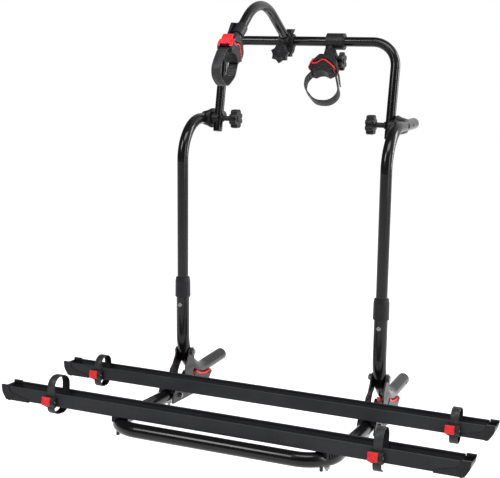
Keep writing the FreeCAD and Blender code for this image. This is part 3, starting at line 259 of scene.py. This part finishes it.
# Name, place, aim, width, height, power
lamps = [
    ("key", (-1.5, -3.1, 2.7), (0, -0.3, 0.6), 1.1, 1.3, 60),
    ("fill", (2.9, -1.3, 1.2), (0.1, -0.3, 0.4), 0.4, 2.2, 26),
    ("rim", (2.3, 1.3, 1.5), (0.1, -0.2, 0.5), 0.6, 2.2, 70),
    ("top", (0.5, -1.5, 2.9), (0.1, -0.4, 0.1), 1.8, 1.0, 44),
]
camera_place = (1.0484, -2.9547, 1.0047)
camera_azimuth = math.radians(22.99)
camera_pitch = math.radians(10.93)
camera_roll = math.radians(0.65)
camera_lens = 75.208
camera_film = 36.0


# Materials

def add(tree, kind, **settings):
    """A new shader node with its settings."""
    made = tree.nodes.new(kind)
    for name, value in settings.items():
        setattr(made, name, value)
    return made


def pattern(tree, scale, detail, stretch=(1, 1, 1)):
    """Noise over the piece's own coordinates, which are metres."""
    coords = add(tree, "ShaderNodeTexCoord")
    mapping = add(tree, "ShaderNodeMapping")
    mapping.inputs["Scale"].default_value = stretch
    noise = add(tree, "ShaderNodeTexNoise")
    noise.inputs["Scale"].default_value = scale
    noise.inputs["Detail"].default_value = detail
    tree.links.new(coords.outputs["Object"], mapping.inputs["Vector"])
    tree.links.new(mapping.outputs["Vector"], noise.inputs["Vector"])
    return noise.outputs["Fac"]


def spread(tree, value, low, high):
    """The noise value stretched between two numbers."""
    node = add(tree, "ShaderNodeMapRange")
    node.inputs["From Min"].default_value = gloss_span[0]
    node.inputs["From Max"].default_value = gloss_span[1]
    node.inputs["To Min"].default_value = low
    node.inputs["To Max"].default_value = high
    tree.links.new(value, node.inputs["Value"])
    return node.outputs["Result"]


def two_tone(tree, value, dark, light):
    """A colour between two, by the noise value."""
    node = add(tree, "ShaderNodeValToRGB")
    ends = node.color_ramp.elements
    for end, position, colour in zip(ends, colour_span, (dark, light)):
        end.position = position
        end.color = (*colour, 1)
    tree.links.new(value, node.inputs["Fac"])
    return node.outputs["Color"]


def surface(
    name, dark, light, rough, mottle, grain, depth, stretch=(1, 1, 1), edge=0.0005, **fixed
):
    """A finish: mottled colour, uneven gloss, a fine relief and softened edges."""
    material = bpy.data.materials.new(name)
    material.use_nodes = True
    tree = material.node_tree
    shader = tree.nodes["Principled BSDF"]
    broad = pattern(tree, mottle, 3.0)
    fine = pattern(tree, grain, 2.0, stretch)
    tree.links.new(two_tone(tree, broad, dark, light), shader.inputs["Base Color"])
    wear = pattern(tree, mottle * wear_scale, 4.0, stretch)
    tree.links.new(spread(tree, wear, *rough), shader.inputs["Roughness"])
    soft_edge = add(tree, "ShaderNodeBevel", samples=4)
    soft_edge.inputs["Radius"].default_value = edge
    bump = add(tree, "ShaderNodeBump")
    bump.inputs["Distance"].default_value = depth
    bump.inputs["Strength"].default_value = bump_strength
    tree.links.new(fine, bump.inputs["Height"])
    tree.links.new(soft_edge.outputs["Normal"], bump.inputs["Normal"])
    tree.links.new(bump.outputs["Normal"], shader.inputs["Normal"])
    for socket, value in fixed.items():
        shader.inputs[socket.replace("_", " ")].default_value = value
    return material


def dress_nodes():
    """Gives every CAD node the finish of its material slot."""
    for part in frame["record"]["subparts"]:
        node = frame["nodes"].get(part["node"])
        if node is None:
            continue
        for holder in node.material_slots:
            holder.material = materials[part["material_slot"]]


# Mesh building

def rounded(points, steps=7, closed=True):
    """Outline points in a plane; the third number of a point rounds that corner."""
    result = []
    count = len(points)
    for index, point in enumerate(points):
        here = Vector(point[:2])
        radius = point[2] if len(point) > 2 else 0
        end = not closed and index in (0, count - 1)
        if radius == 0 or end:
            result.append(here)
            continue
        arrive = (here - Vector(points[index - 1][:2])).normalized()
        leave = (Vector(points[(index + 1) % count][:2]) - here).normalized()
        turn = arrive.angle(leave)
        centre = here + (leave - arrive).normalized() * (radius / math.cos(turn / 2))
        start = here - arrive * (radius * math.tan(turn / 2)) - centre
        side = 1 if arrive.x * leave.y - arrive.y * leave.x > 0 else -1
        for step in range(steps + 1):
            angle = side * turn * step / steps
            c, s = math.cos(angle), math.sin(angle)
            result.append(centre + Vector((start.x * c - start.y * s, start.x * s + start.y * c)))
    return result


def strip(points, thick):
    """Closed outline of a strip that follows a plane path."""
    near, far = [], []
    for index, point in enumerate(points):
        before = points[max(index - 1, 0)]
        ahead = points[min(index + 1, len(points) - 1)]
        heading = (ahead - before).normalized()
        across = Vector((-heading.y, heading.x)) * thick / 2
        near.append(point + across)
        far.append(point - across)
    return near + list(reversed(far))


def tilted_box(middle, heading, along, across, radius=0):
    """Outline of a box that lies along a heading, from its half sizes."""
    outward = Vector((-heading.y, heading.x))
    corners = []
    for a, b in ((-1, -1), (1, -1), (1, 1), (-1, 1)):
        spot = middle + heading * (a * along) + outward * (b * across)
        corners.append((spot.x, spot.y, radius))
    return rounded(corners, 3)


def keep(name, mesh_data, place, finish, body, sharp=32.0, even=True):
    """Turns mesh data into a piece that rides on a body."""
    mesh_data.transform(Matrix.Scale(MM, 4) @ place)
    bmesh.ops.recalc_face_normals(mesh_data, faces=mesh_data.faces)
    mesh = bpy.data.meshes.new(name)
    mesh_data.to_mesh(mesh)
    mesh_data.free()
    mesh.materials.append(materials[finish])
    mesh.shade_smooth()
    mesh.set_sharp_from_angle(angle=math.radians(sharp))
    piece = bpy.data.objects.new(name, mesh)
    scene.collection.objects.link(piece)
    if even:
        piece.modifiers.new("EvenShading", "WEIGHTED_NORMAL").keep_sharp = True
    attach(piece, body)
    return piece


def prism(target, points, x_from, x_to, rim):
    """A (y, z) outline drawn out along x, its two rims rounded off."""
    near, far = [
        [target.verts.new((x, point.x, point.y)) for point in points] for x in (x_from, x_to)
    ]
    caps = [target.faces.new(near), target.faces.new(list(reversed(far)))]
    for index in range(len(points)):
        ahead = (index + 1) % len(points)
        target.faces.new((near[ahead], near[index], far[index], far[ahead]))
    edges = list({edge for cap in caps for edge in cap.edges})
    bmesh.ops.bevel(
        target, geom=edges, offset=rim, segments=3, profile=0.5, affect="EDGES",
        clamp_overlap=True,
    )


def block(name, points, x_from, x_to, rim, place, finish, body):
    """A moulded block as a piece of its own."""
    data = bmesh.new()
    prism(data, rounded(points), x_from, x_to, rim)
    return keep(name, data, place, finish, body)


def ridges(target, count, first, pitch, foot, top, x_from, x_to, rim):
    """Thumb ridges; foot and top are each a distance out and half a width."""
    for number in range(count):
        middle = first + pitch * number
        shape = rounded([
            (foot[0], middle - foot[1]),
            (foot[0], middle + foot[1]),
            (top[0], middle + top[1], 0.5),
            (top[0], middle - top[1], 0.5),
        ], 4)
        prism(target, shape, x_from, x_to, rim)


def loft(target, rings):
    """Skins a row of rings that have as many corners each, and closes both ends."""
    for lower, upper in zip(rings, rings[1:]):
        for step in range(len(lower)):
            ahead = (step + 1) % len(lower)
            target.faces.new((lower[step], lower[ahead], upper[ahead], upper[step]))
    target.faces.new(list(reversed(rings[0])))
    target.faces.new(rings[-1])


def around(count):
    """The angles of a full turn in equal steps."""
    return [2 * math.pi * step / count for step in range(count)]


def turned(target, profile, place, segments=32):
    """A round form about z from (radius, height) pairs; the first and last close it."""
    rings = []
    for radius, height in profile:
        ring = []
        for angle in around(segments):
            point = Vector((radius * math.cos(angle), radius * math.sin(angle), height))
            ring.append(target.verts.new(place @ point))
        rings.append(ring)
    loft(target, rings)


def toward(point, direction, spin=0.0):
    """A place at point whose z runs along direction, turned about it by spin degrees."""
    turn = Vector((0, 0, 1)).rotation_difference(Vector(direction)).to_matrix().to_4x4()
    return Matrix.Translation(point) @ turn @ Matrix.Rotation(math.radians(spin), 4, "Z")


def button(name, point, direction, radius, rise, place, finish, body):
    """A low domed head with a small central recess, such as a pin or screw end."""
    profile = [
        (radius * 0.97, -0.4),
        (radius, 0),
        (radius, rise * 0.45),
        (radius * 0.93, rise * 0.75),
        (radius * 0.75, rise * 0.95),
        (radius * 0.52, rise),
        (radius * 0.45, rise * 0.55),
        (radius * 0.1, rise * 0.5),
    ]
    data = bmesh.new()
    turned(data, profile, toward(Vector(point), direction), segments=28)
    return keep(name, data, place, finish, body)


# Straps

def walk(path, distances):
    """Points and headings on a plane path at the given distances along it."""
    lengths = [0.0]
    for here, ahead in zip(path, path[1:]):
        lengths.append(lengths[-1] + (ahead - here).length)
    found = []
    index = 0
    for distance in distances:
        while index < len(path) - 2 and lengths[index + 1] < distance:
            index += 1
        heading = (path[index + 1] - path[index]).normalized()
        found.append((path[index] + heading * (distance - lengths[index]), heading))
    smooth = []
    for number, (point, heading) in enumerate(found):
        before = found[max(number - 1, 0)][1]
        ahead = found[min(number + 1, len(found) - 1)][1]
        smooth.append((point, (before + heading + ahead).normalized()))
    return smooth


def tooth_places(length, pitch, smooth_start, smooth_end=10.0):
    """Distances along a strap and how full it is there, from 0 at a notch to 1 on a tooth."""
    places = []
    at = 0.0
    while at < smooth_start:
        places.append((at, 1.0))
        at += 2.0
    while at < length - smooth_end - pitch:
        for share, full in ((0.0, 1.0), (0.35, 1.0), (0.42, 0.0), (0.62, 0.0), (0.94, 0.8)):
            places.append((at + share * pitch, full))
        at += pitch
    while at < length:
        places.append((at, 1.0))
        at += 1.0
    places.append((length, 1.0))
    return places


def mirrored(points):
    """The points on the other side of the middle, in reverse order."""
    return [(-across, out) for across, out in reversed(points)]


def band_profile(half, inner, outer, bottom, border):
    """Section of a strap as (across, out): a notched inner face, two grooves outside."""
    edge = min(border, half * 0.5)
    groove = half - edge * 0.8
    inside = [
        (half - edge - 0.3, bottom),
        (half - edge, inner),
        (half - 0.3, inner),
        (half, inner + 0.3),
    ]
    outside = [
        (half, outer - 0.4),
        (half - 0.4, outer),
        (groove, outer),
        (groove - 0.6, outer - 0.35),
        (groove - 1.2, outer - 0.1),
    ]
    return mirrored(inside) + inside + outside + mirrored(outside)


def ladder_band(target, path, put, width, thick, out, pitch, notch, tip, smooth_start):
    """A strap along a plane path: a grooved outer face, a toothed inner face, a round tip."""
    length = sum((ahead - here).length for here, ahead in zip(path, path[1:]))
    places = tooth_places(length, pitch, smooth_start)
    stations = walk(path, [distance for distance, full in places])
    rings = []
    for (distance, full), (point, heading) in zip(places, stations):
        half = width / 2
        left = length - distance
        if left < tip:
            half = width / 2 - tip + math.sqrt(max(tip ** 2 - (tip - left) ** 2, 0.3))
        outward = Vector((heading.y, -heading.x)) * out
        bottom = -thick / 2 + notch * (1 - full)
        ring = []
        for side, rise in band_profile(half, -thick / 2, thick / 2, bottom, width * 0.13):
            spot = point + outward * rise
            ring.append(target.verts.new(put(side, spot.x, spot.y)))
        rings.append(ring)
    loft(target, rings)


def make_wheel_strap(name, side, inset, y, arch, tail_depth, tail_end, slant):
    """Band, anchor, buckle and lever of one wheel strap."""
    x = side * (overall_length / 2 - inset)
    face = y - rail_width / 2
    inner = y + rail_width / 2 - bead_width - strap_clearance - strap_thickness / 2
    front = face - strap_clearance - strap_thickness / 2
    foot = -rail_height + rail_floor + seat_gap
    low = -rail_height - tail_depth
    corners = [
        (inner, foot),
        (inner, arch, strap_crown),
        (front, arch, strap_crown),
        (front, low, tail_bend),
        (y + tail_end, low, tail_bend if tail_end > 0 else 0),
    ]
    if tail_end > 0:
        corners.append((y + tail_end, -rail_height - tail_gap))
    body = "strap_" + name
    node = "wheel_strap_" + name

    def lean(along):
        return slant / rail_width * (along - face)

    def put(across, along, up):
        return Vector((x + across + lean(along), along, up))

    data = bmesh.new()
    path = rounded(corners, steps=24, closed=False)
    ladder_band(
        data, path, put, strap_width, strap_thickness, 1,
        pitch=4.0, notch=0.9, tip=8.0, smooth_start=30.0,
    )
    band = keep(
        "strap_band_" + name, data, platform, "black_rubber", body, sharp=28.0, even=False
    )
    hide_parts(node)

    wall = y + rail_width / 2 - rail_wall - seat_gap
    top = -1.5 * bead_height - strap_clearance
    points = [(inner, foot), (wall, foot, 0.8), (wall, top, 1.2), (inner, top, 1.2)]
    left = x + lean(inner) - strap_width / 2
    anchor = block(
        "strap_anchor_" + name, points, left, left + strap_width, 0.8,
        platform, "black_rubber", body,
    )
    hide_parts(node)
    back = face - strap_clearance - strap_thickness
    make_buckle(name, x, back, body, node)
    make_wheel_lever(name, x + lever_offset, back - buckle_depth - seat_gap)


def make_buckle(name, x, back, body, node):
    """Ratchet housing with its raised cheek, lip and pin."""
    low = buckle_top - buckle_height
    half = buckle_width / 2
    face = back - buckle_depth
    middle = back - buckle_depth / 2
    nose = face - lever_thickness - seat_gap
    housing = [
        (back, low - 1, 1.5),
        (back, buckle_top, 1.5),
        (back - buckle_depth * 0.6, buckle_top, 4.0),
        (face, buckle_top - 7, 4.0),
        (face, low + 4, 4.0),
        (middle, low - 4, 3.0),
    ]
    cheek = [
        (middle, buckle_top - 2, 2.0),
        (face - 1, buckle_top - 2, 3.5),
        (nose, buckle_top - 10, 6.5),
        (nose, low + 8, 6.5),
        (face, low - 1, 4.0),
        (middle, low - 1, 2.0),
    ]
    lip = [
        (back - 0.2, low - 2.2),
        (back - 2.6, low - 2.2, 0.5),
        (back - 3.4, low - 5.0, 1.0),
        (back - 0.6, low - 5.0, 0.5),
    ]
    beside_lever = x + lever_offset + lever_width / 2 + 0.7

    def shape(title, points, x_from, x_to, rim):
        piece = block(title + name, points, x_from, x_to, rim, platform, "black_plastic", body)
        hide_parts(node)

    shape("buckle_", housing, x - half, x + half, 1.1)
    shape("buckle_cheek_", cheek, beside_lever, x + half - 1.0, 1.3)
    pin = (x + half - 1.4, face - 0.5, buckle_top - 12.5)
    button("buckle_pin_" + name, pin, (1, 0, 0), *buckle_pin_size, platform, "zinc_steel", body)
    shape("buckle_lip_", lip, x - half + 3, x + half - 3, 0.5)


def make_wheel_lever(name, x, back):
    """Red release lever with its rolled top and thumb ridges."""
    low = lever_top - lever_height
    half = lever_width / 2
    points = [
        (back, low + 1, 1.2),
        (back, lever_top, lever_barrel),
        (back - 2 * lever_barrel, lever_top, lever_barrel * 0.85),
        (back - lever_thickness * 0.72, lever_top - 6.5, 4.0),
        (back - lever_thickness, lever_top - 12, 9.0),
        (back - lever_thickness * 0.9, low, 1.8),
    ]
    data = bmesh.new()
    prism(data, rounded(points), x - half, x + half, 0.8)
    foot = (back - lever_thickness * 0.6, 0.8)
    top = (back - lever_thickness - 0.55, 0.55)
    ridges(data, lever_ridges, low + 2.4, 3.0, foot, top, x - half + 3, x + half - 3, 0.3)
    lever = keep("release_" + name, data, platform, "red_plastic", "lever_" + name)
    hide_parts("wheel_lever_" + name)


# Frame holders

def head_place(centre, across, up):
    """Placement of a holder head, from the directions of its u and w."""
    through = up.cross(across)
    turn = Matrix((across, through, up)).transposed().to_4x4()
    return Matrix.Translation(centre) @ turn


def long_place():
    """Where the head of the long arm sits: up the arm's first run, then down its second."""
    climb = Vector((0, -math.cos(arm_climb), math.sin(arm_climb)))
    down = Vector((0, -math.cos(arm_drop), -math.sin(arm_drop)))
    start = Vector((arm_x, bar_centre.y, bar_centre.z))
    tube_end = start + climb * arm_runs[0] + down * arm_runs[1]
    along, aside = long_past_tube
    centre = tube_end + down * along + Vector((0, -down.z, down.y)) * aside
    up = Vector((0, math.sin(long_lean), math.cos(long_lean)))
    return head_place(centre, Vector((0, -math.cos(long_lean), math.sin(long_lean))), up)


def short_place():
    """Where the head of the short holder sits, below its clamp on the bar."""
    up = Vector((0, math.sin(short_lean), math.cos(short_lean)))
    centre = bar_centre + Vector((short_x, 0, 0)) - up * short_below_bar
    return head_place(centre, Vector((-1, 0, 0)), up)


def in_head(side, u, w):
    """A point of a head's plane as (u, v, w)."""
    return Vector((u, side, w))


def flat_slab(name, points, v_from, v_to, rim, place, body):
    """A (u, w) outline drawn out through the head in black plastic."""
    block(name, points, v_from, v_to, rim, place @ through_head, "black_plastic", body)


def make_holder(name, place, loop):
    """Strap, lever, liner, noses, slot rim and screws of one holder."""
    body = name + "_holder"
    path = rounded(loop, steps=32, closed=False)
    data = bmesh.new()
    ladder_band(
        data, path, in_head, holder_strap_width, holder_strap_thickness, -1,
        pitch=10.0, notch=1.7, tip=0.01, smooth_start=26.0,
    )
    band = keep(name + "_strap_band", data, place, "black_rubber", body, sharp=28.0, even=False)
    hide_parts(name + "_strap")
    make_holder_lever(name, place)
    make_liner(name, place, body)
    make_noses(name, place, body)
    make_slot_rim(name, place, body, Vector(loop[-2][:2]), Vector(loop[-1]))
    for number, (u, w) in enumerate(head_screws):
        for side, title in ((-1, "back"), (1, "front")):
            spot = (u, side * (head_depth / 2 - 0.5), w)
            screw = f"{name}_head_screw_{number}_{title}"
            button(screw, spot, (0, side, 0), *head_screw_size, place, "black_plastic", body)


def make_holder_lever(name, place):
    """Red lever of a holder head with rounded shoulders, ridges and a rolled top."""
    face = head_width / 2
    seat = face - press_seat
    half = press_width / 2
    points = [
        (seat, press_foot, 2.2),
        (face + 2, press_foot, 2.5),
        (face + 3.4, -2, 8.0),
        (face + 3, 6, 10.0),
        (seat + 2 * press_barrel, press_top, press_barrel),
        (seat, press_top, press_barrel),
    ]
    data = bmesh.new()
    prism(data, rounded(points), -half, half, 1.4)
    foot, top = (face, 0.9), (face + 3.2, 0.6)
    ridges(data, press_ridges, press_foot + 2.5, 3.4, foot, top, -half + 4, half - 4, 0.35)
    turned_place = place @ through_head
    lever = keep(name + "_release_lever", data, turned_place, "red_plastic", name + "_release")
    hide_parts(name + "_lever")


def make_liner(name, place, body):
    """Wavy red liner that shows all round the head."""
    reach = head_depth / 2 + 0.5
    data = bmesh.new()
    outline = strip(rounded(liner_line, steps=10, closed=False), liner_thickness)
    prism(data, outline, -reach, reach, rim=0.5)
    liner = keep(name + "_liner_band", data, place @ through_head, "red_plastic", body)
    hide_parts(name + "_liner")


def make_noses(name, place, body):
    """Two black noses beside the lever, each with a red edge round its first three corners."""
    inner = press_width / 2 + 0.6
    outer = head_depth / 2 + 0.4
    edge = rounded(nose_outline, steps=6, closed=False)[1:-8]
    for side, title in ((-1, "back"), (1, "front")):
        low, high = sorted((side * inner, side * outer))
        flat_slab(f"{name}_cheek_{title}", nose_outline, low, high, 1.2, place, body)
        data = bmesh.new()
        prism(data, strip(edge, nose_edge), low - 0.3, high + 0.3, rim=0.3)
        keep(f"{name}_cheek_edge_{title}", data, place @ through_head, "red_plastic", body)


def make_slot_rim(name, place, body, start, end):
    """Red collar where the strap runs up into the jaw."""
    heading = (end - start).normalized()
    outward = Vector((-heading.y, heading.x))
    mouth = end - heading * slot_depth
    wall, half = 1.6, 2.4
    thick = holder_strap_thickness / 2 + 0.5
    wide = holder_strap_width / 2 + 0.5
    data = bmesh.new()
    for side in (1, -1):
        middle = mouth + outward * (side * (thick + wall / 2))
        outline = tilted_box(middle, heading, half, wall / 2, 0.4)
        prism(data, outline, -wide - wall, wide + wall, 0.3)
    for side in (-1, 1):
        low, high = sorted((side * wide, side * (wide + wall)))
        prism(data, tilted_box(mouth, heading, half, thick + 0.2), low, high, 0.3)
    keep(name + "_slot_rim", data, place @ through_head, "red_plastic", body)


def make_tail(place):
    """Free end of the short holder's strap, which hangs outside its loop."""
    path = rounded(short_tail, steps=16, closed=False)
    data = bmesh.new()
    ladder_band(
        data, path, in_head, short_tail_width, short_tail_thickness, -1,
        pitch=10.0, notch=1.2, tip=9.0, smooth_start=4.0,
    )
    tail = keep(
        "short_strap_tail", data, place, "black_rubber", "short_holder", sharp=28.0, even=False
    )
    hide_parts("short_strap")


# Knobs and clamps

def make_knob(name, node, body, place, sizes):
    """Lobed hand knob about z: its cap at 0, its stem at the far side."""
    radius, thickness, lobes, depth, pointed, stem, length = sizes
    sections = [(radius * share, height, cut) for share, height, cut in knob_front]
    sections += [(radius * share, thickness + height, cut) for share, height, cut in knob_back]
    sections += [
        (stem + 4.0, thickness + 1.6, 0),
        (stem + 1.6, thickness + 4.0, 0),
        (stem, thickness + 7.0, 0),
        (stem, length - 0.8, 0),
        (stem - 0.8, length, 0),
    ]
    data = bmesh.new()
    rings = []
    for size, height, cut in sections:
        ring = []
        for angle in around(lobes * steps_per_lobe):
            if pointed:
                dip = abs(math.sin(lobes * angle / 2))
            else:
                dip = (0.5 - 0.5 * math.cos(lobes * angle)) ** notch_sharpness
            reach = size - depth * cut * dip
            point = (reach * math.cos(angle), reach * math.sin(angle), height)
            ring.append(data.verts.new(point))
        rings.append(ring)
    loft(data, rings)
    knob = keep(name, data, place, "black_plastic", body, sharp=38.0)
    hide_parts(node)


def make_knobs():
    """The clamp knobs, the star knob of the long arm and the short holder's side knob."""
    for side, title in ((1, "right"), (-1, "left")):
        face = clamp_centre + Vector((side * clamp_knob_face_x, 0, 0))
        place = toward(face, (side, 0, 0), spin=22.5)
        node = "clamp_knob_" + title
        make_knob(node + "_grip", node, "knob_" + title, place, clamp_knob)
    star = toward(bar_centre + star_face, (0, 1, 0), spin=96)
    make_knob("arm_knob_star", "arm_knob", "long_knob", star, star_knob)
    turn = toward(bar_centre + side_face, (-1, 0, 0))
    make_knob("short_knob_grip", "short_knob", "short_turn_knob", turn, side_knob)


def make_clamp_shell(side, title):
    """Shaped body that joins an upper arm and a hoop leg."""
    data = bmesh.new()
    rings = []
    for x, half_y, half_z in clamp_sections:
        ring = []
        for angle in around(clamp_steps):
            c, s = math.cos(angle), math.sin(angle)
            y = clamp_centre.y + half_y * math.copysign(abs(c) ** clamp_squareness, c)
            z = clamp_centre.z + half_z * math.copysign(abs(s) ** clamp_squareness, s)
            ring.append(data.verts.new((side * x, y, z)))
        rings.append(ring)
    loft(data, rings)
    shell = keep(
        "clamp_shell_" + title, data, as_drawn, "black_plastic", "upper_frame", sharp=45.0
    )
    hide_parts("tube_clamps")


def make_leg_seat(side, title):
    """Round seat between a hoop leg and its clamp, and the washer inside the leg."""
    hub = clamp_centre + Vector((side * (clamp_hub_x - 0.1), 0, 0))
    near = clamp_centre + Vector((side * (hoop_leg_x - hoop_radius - washer_reach), 0, 0))
    data = bmesh.new()
    turned(data, seat_profile, toward(hub, (-side, 0, 0)), segments=48)
    turned(data, washer_profile, toward(near, (side, 0, 0)), segments=40)
    seat = keep("leg_seat_" + title, data, as_drawn, "black_plastic", "hoop")
    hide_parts("leg_saddles")


def make_arm_clamp():
    """Rounded ears of the long arm's clamp, and the flared head of its grip screw."""
    for side, title in ((-1, "front"), (1, "back")):
        low, high = sorted(bar_centre.y + side * face for face in ear_faces)
        name = "arm_clamp_ear_" + title
        block(name, ear_outline, low, high, 1.6, through_rack, "black_plastic", "long_arm")
    data = bmesh.new()
    turned(data, screw_profile, toward(screw_foot, (0, 0, 1), spin=23), segments=4)
    keep("arm_clamp_screw_head", data, as_drawn, "black_plastic", "long_arm")


# Light, floor and camera

def combine(tree, operation, first, second):
    """A math node over two sockets or numbers."""
    node = add(tree, "ShaderNodeMath", operation=operation)
    for socket, value in zip(node.inputs, (first, second)):
        if isinstance(value, float):
            socket.default_value = value
        else:
            tree.links.new(value, socket)
    return node.outputs[0]


def make_floor():
    """A pale floor that shows white to the eye, a mirror or clear plastic and keeps shadows."""
    level = cad_low.z - floor_drop
    mesh = bpy.data.meshes.new("floor")
    corners = [
        (a * floor_reach, b * floor_reach, level) for a, b in ((-1, -1), (1, -1), (1, 1), (-1, 1))
    ]
    mesh.from_pydata(corners, [], [(0, 1, 2, 3)])
    floor = bpy.data.objects.new("floor", mesh)
    scene.collection.objects.link(floor)
    material = bpy.data.materials.new("floor")
    material.use_nodes = True
    tree = material.node_tree
    tree.nodes.clear()
    output = add(tree, "ShaderNodeOutputMaterial")
    matt = add(tree, "ShaderNodeBsdfDiffuse")
    matt.inputs["Color"].default_value = (floor_grey, floor_grey, floor_grey, 1)
    bright = add(tree, "ShaderNodeEmission")
    bright.inputs["Strength"].default_value = floor_glow
    rays = add(tree, "ShaderNodeLightPath").outputs
    seen = combine(tree, "MAXIMUM", rays["Is Camera Ray"], rays["Is Transmission Ray"])
    seen = combine(tree, "MAXIMUM", seen, rays["Is Glossy Ray"])
    shown = add(tree, "ShaderNodeAddShader")
    pick = add(tree, "ShaderNodeMixShader")
    tree.links.new(matt.outputs[0], shown.inputs[0])
    tree.links.new(bright.outputs[0], shown.inputs[1])
    tree.links.new(seen, pick.inputs[0])
    tree.links.new(matt.outputs[0], pick.inputs[1])
    tree.links.new(shown.outputs[0], pick.inputs[2])
    tree.links.new(pick.outputs[0], output.inputs[0])
    mesh.materials.append(material)


def make_world():
    """White for the eye, and for mirrors that look at the backdrop; a soft light for the rest."""
    world = bpy.data.worlds.new("studio")
    scene.world = world
    world.use_nodes = True
    tree = world.node_tree
    tree.nodes.clear()
    output = add(tree, "ShaderNodeOutputWorld")
    sky = add(tree, "ShaderNodeBackground")
    sky.inputs["Color"].default_value = (1, 1, 1, 1)
    coords = add(tree, "ShaderNodeTexCoord")
    facing = add(tree, "ShaderNodeVectorMath", operation="DOT_PRODUCT")
    facing.inputs[1].default_value = backdrop_side
    tree.links.new(coords.outputs["Generated"], facing.inputs[0])
    screen = add(tree, "ShaderNodeMapRange")
    screen.inputs["From Min"].default_value = 0.0
    screen.inputs["From Max"].default_value = backdrop_full
    screen.inputs["To Min"].default_value = backdrop_dim
    tree.links.new(facing.outputs["Value"], screen.inputs["Value"])
    rays = add(tree, "ShaderNodeLightPath").outputs
    glossy = rays["Is Glossy Ray"]
    seen = combine(tree, "MAXIMUM", rays["Is Camera Ray"], rays["Is Transmission Ray"])
    mirrored = combine(tree, "MULTIPLY", glossy, screen.outputs["Result"])
    soft = combine(tree, "MULTIPLY", combine(tree, "SUBTRACT", 1.0, glossy), sky_light)
    strength = combine(tree, "MAXIMUM", seen, combine(tree, "MAXIMUM", mirrored, soft))
    tree.links.new(strength, sky.inputs["Strength"])
    tree.links.new(sky.outputs[0], output.inputs[0])


def softbox(name, place, aim, width, height, power):
    """An area lamp that looks at a point."""
    data = bpy.data.lights.new(name, "AREA")
    data.shape = "RECTANGLE"
    data.size = width
    data.size_y = height
    data.energy = power
    lamp = bpy.data.objects.new(name, data)
    lamp.location = place
    lamp.rotation_euler = (Vector(aim) - Vector(place)).to_track_quat("-Z", "Y").to_euler()
    scene.collection.objects.link(lamp)


def make_camera():
    """The camera of the photograph."""
    sideways, ahead = math.sin(camera_azimuth), math.cos(camera_azimuth)
    level = Vector((ahead, sideways, 0))
    forward = Vector((-sideways, ahead, 0)) * math.cos(camera_pitch)
    forward -= Vector((0, 0, math.sin(camera_pitch)))
    upright = level.cross(forward)
    right = level * math.cos(camera_roll) + upright * math.sin(camera_roll)
    up = upright * math.cos(camera_roll) - level * math.sin(camera_roll)
    data = bpy.data.cameras.new("camera")
    data.sensor_fit = "HORIZONTAL"
    data.sensor_width = camera_film
    data.lens = camera_lens
    camera = bpy.data.objects.new("camera", data)
    turn = Matrix((right, up, -forward)).transposed().to_4x4()
    camera.matrix_world = Matrix.Translation(camera_place) @ turn
    scene.collection.objects.link(camera)
    scene.camera = camera


materials = {name: surface(name, **values) for name, values in finishes.items()}
dress_nodes()
for strap_name, strap_values in wheel_straps.items():
    make_wheel_strap(strap_name, *strap_values)
long_head, short_head = long_place(), short_place()
make_holder("long", long_head, long_loop)
make_holder("short", short_head, short_loop)
flat_slab("long_head_shoulder", shoulder_outline, *shoulder_span, 1.6, long_head, "long_holder")
make_tail(short_head)
flat_slab("short_neck", neck_outline, *neck_span, 2.4, short_head, "short_holder")
make_knobs()
for side_sign, side_name in ((1, "right"), (-1, "left")):
    make_clamp_shell(side_sign, side_name)
    make_leg_seat(side_sign, side_name)
make_arm_clamp()
make_floor()
make_world()
for lamp_values in lamps:
    softbox(*lamp_values)
make_camera()
scene.view_settings.view_transform = "Standard"
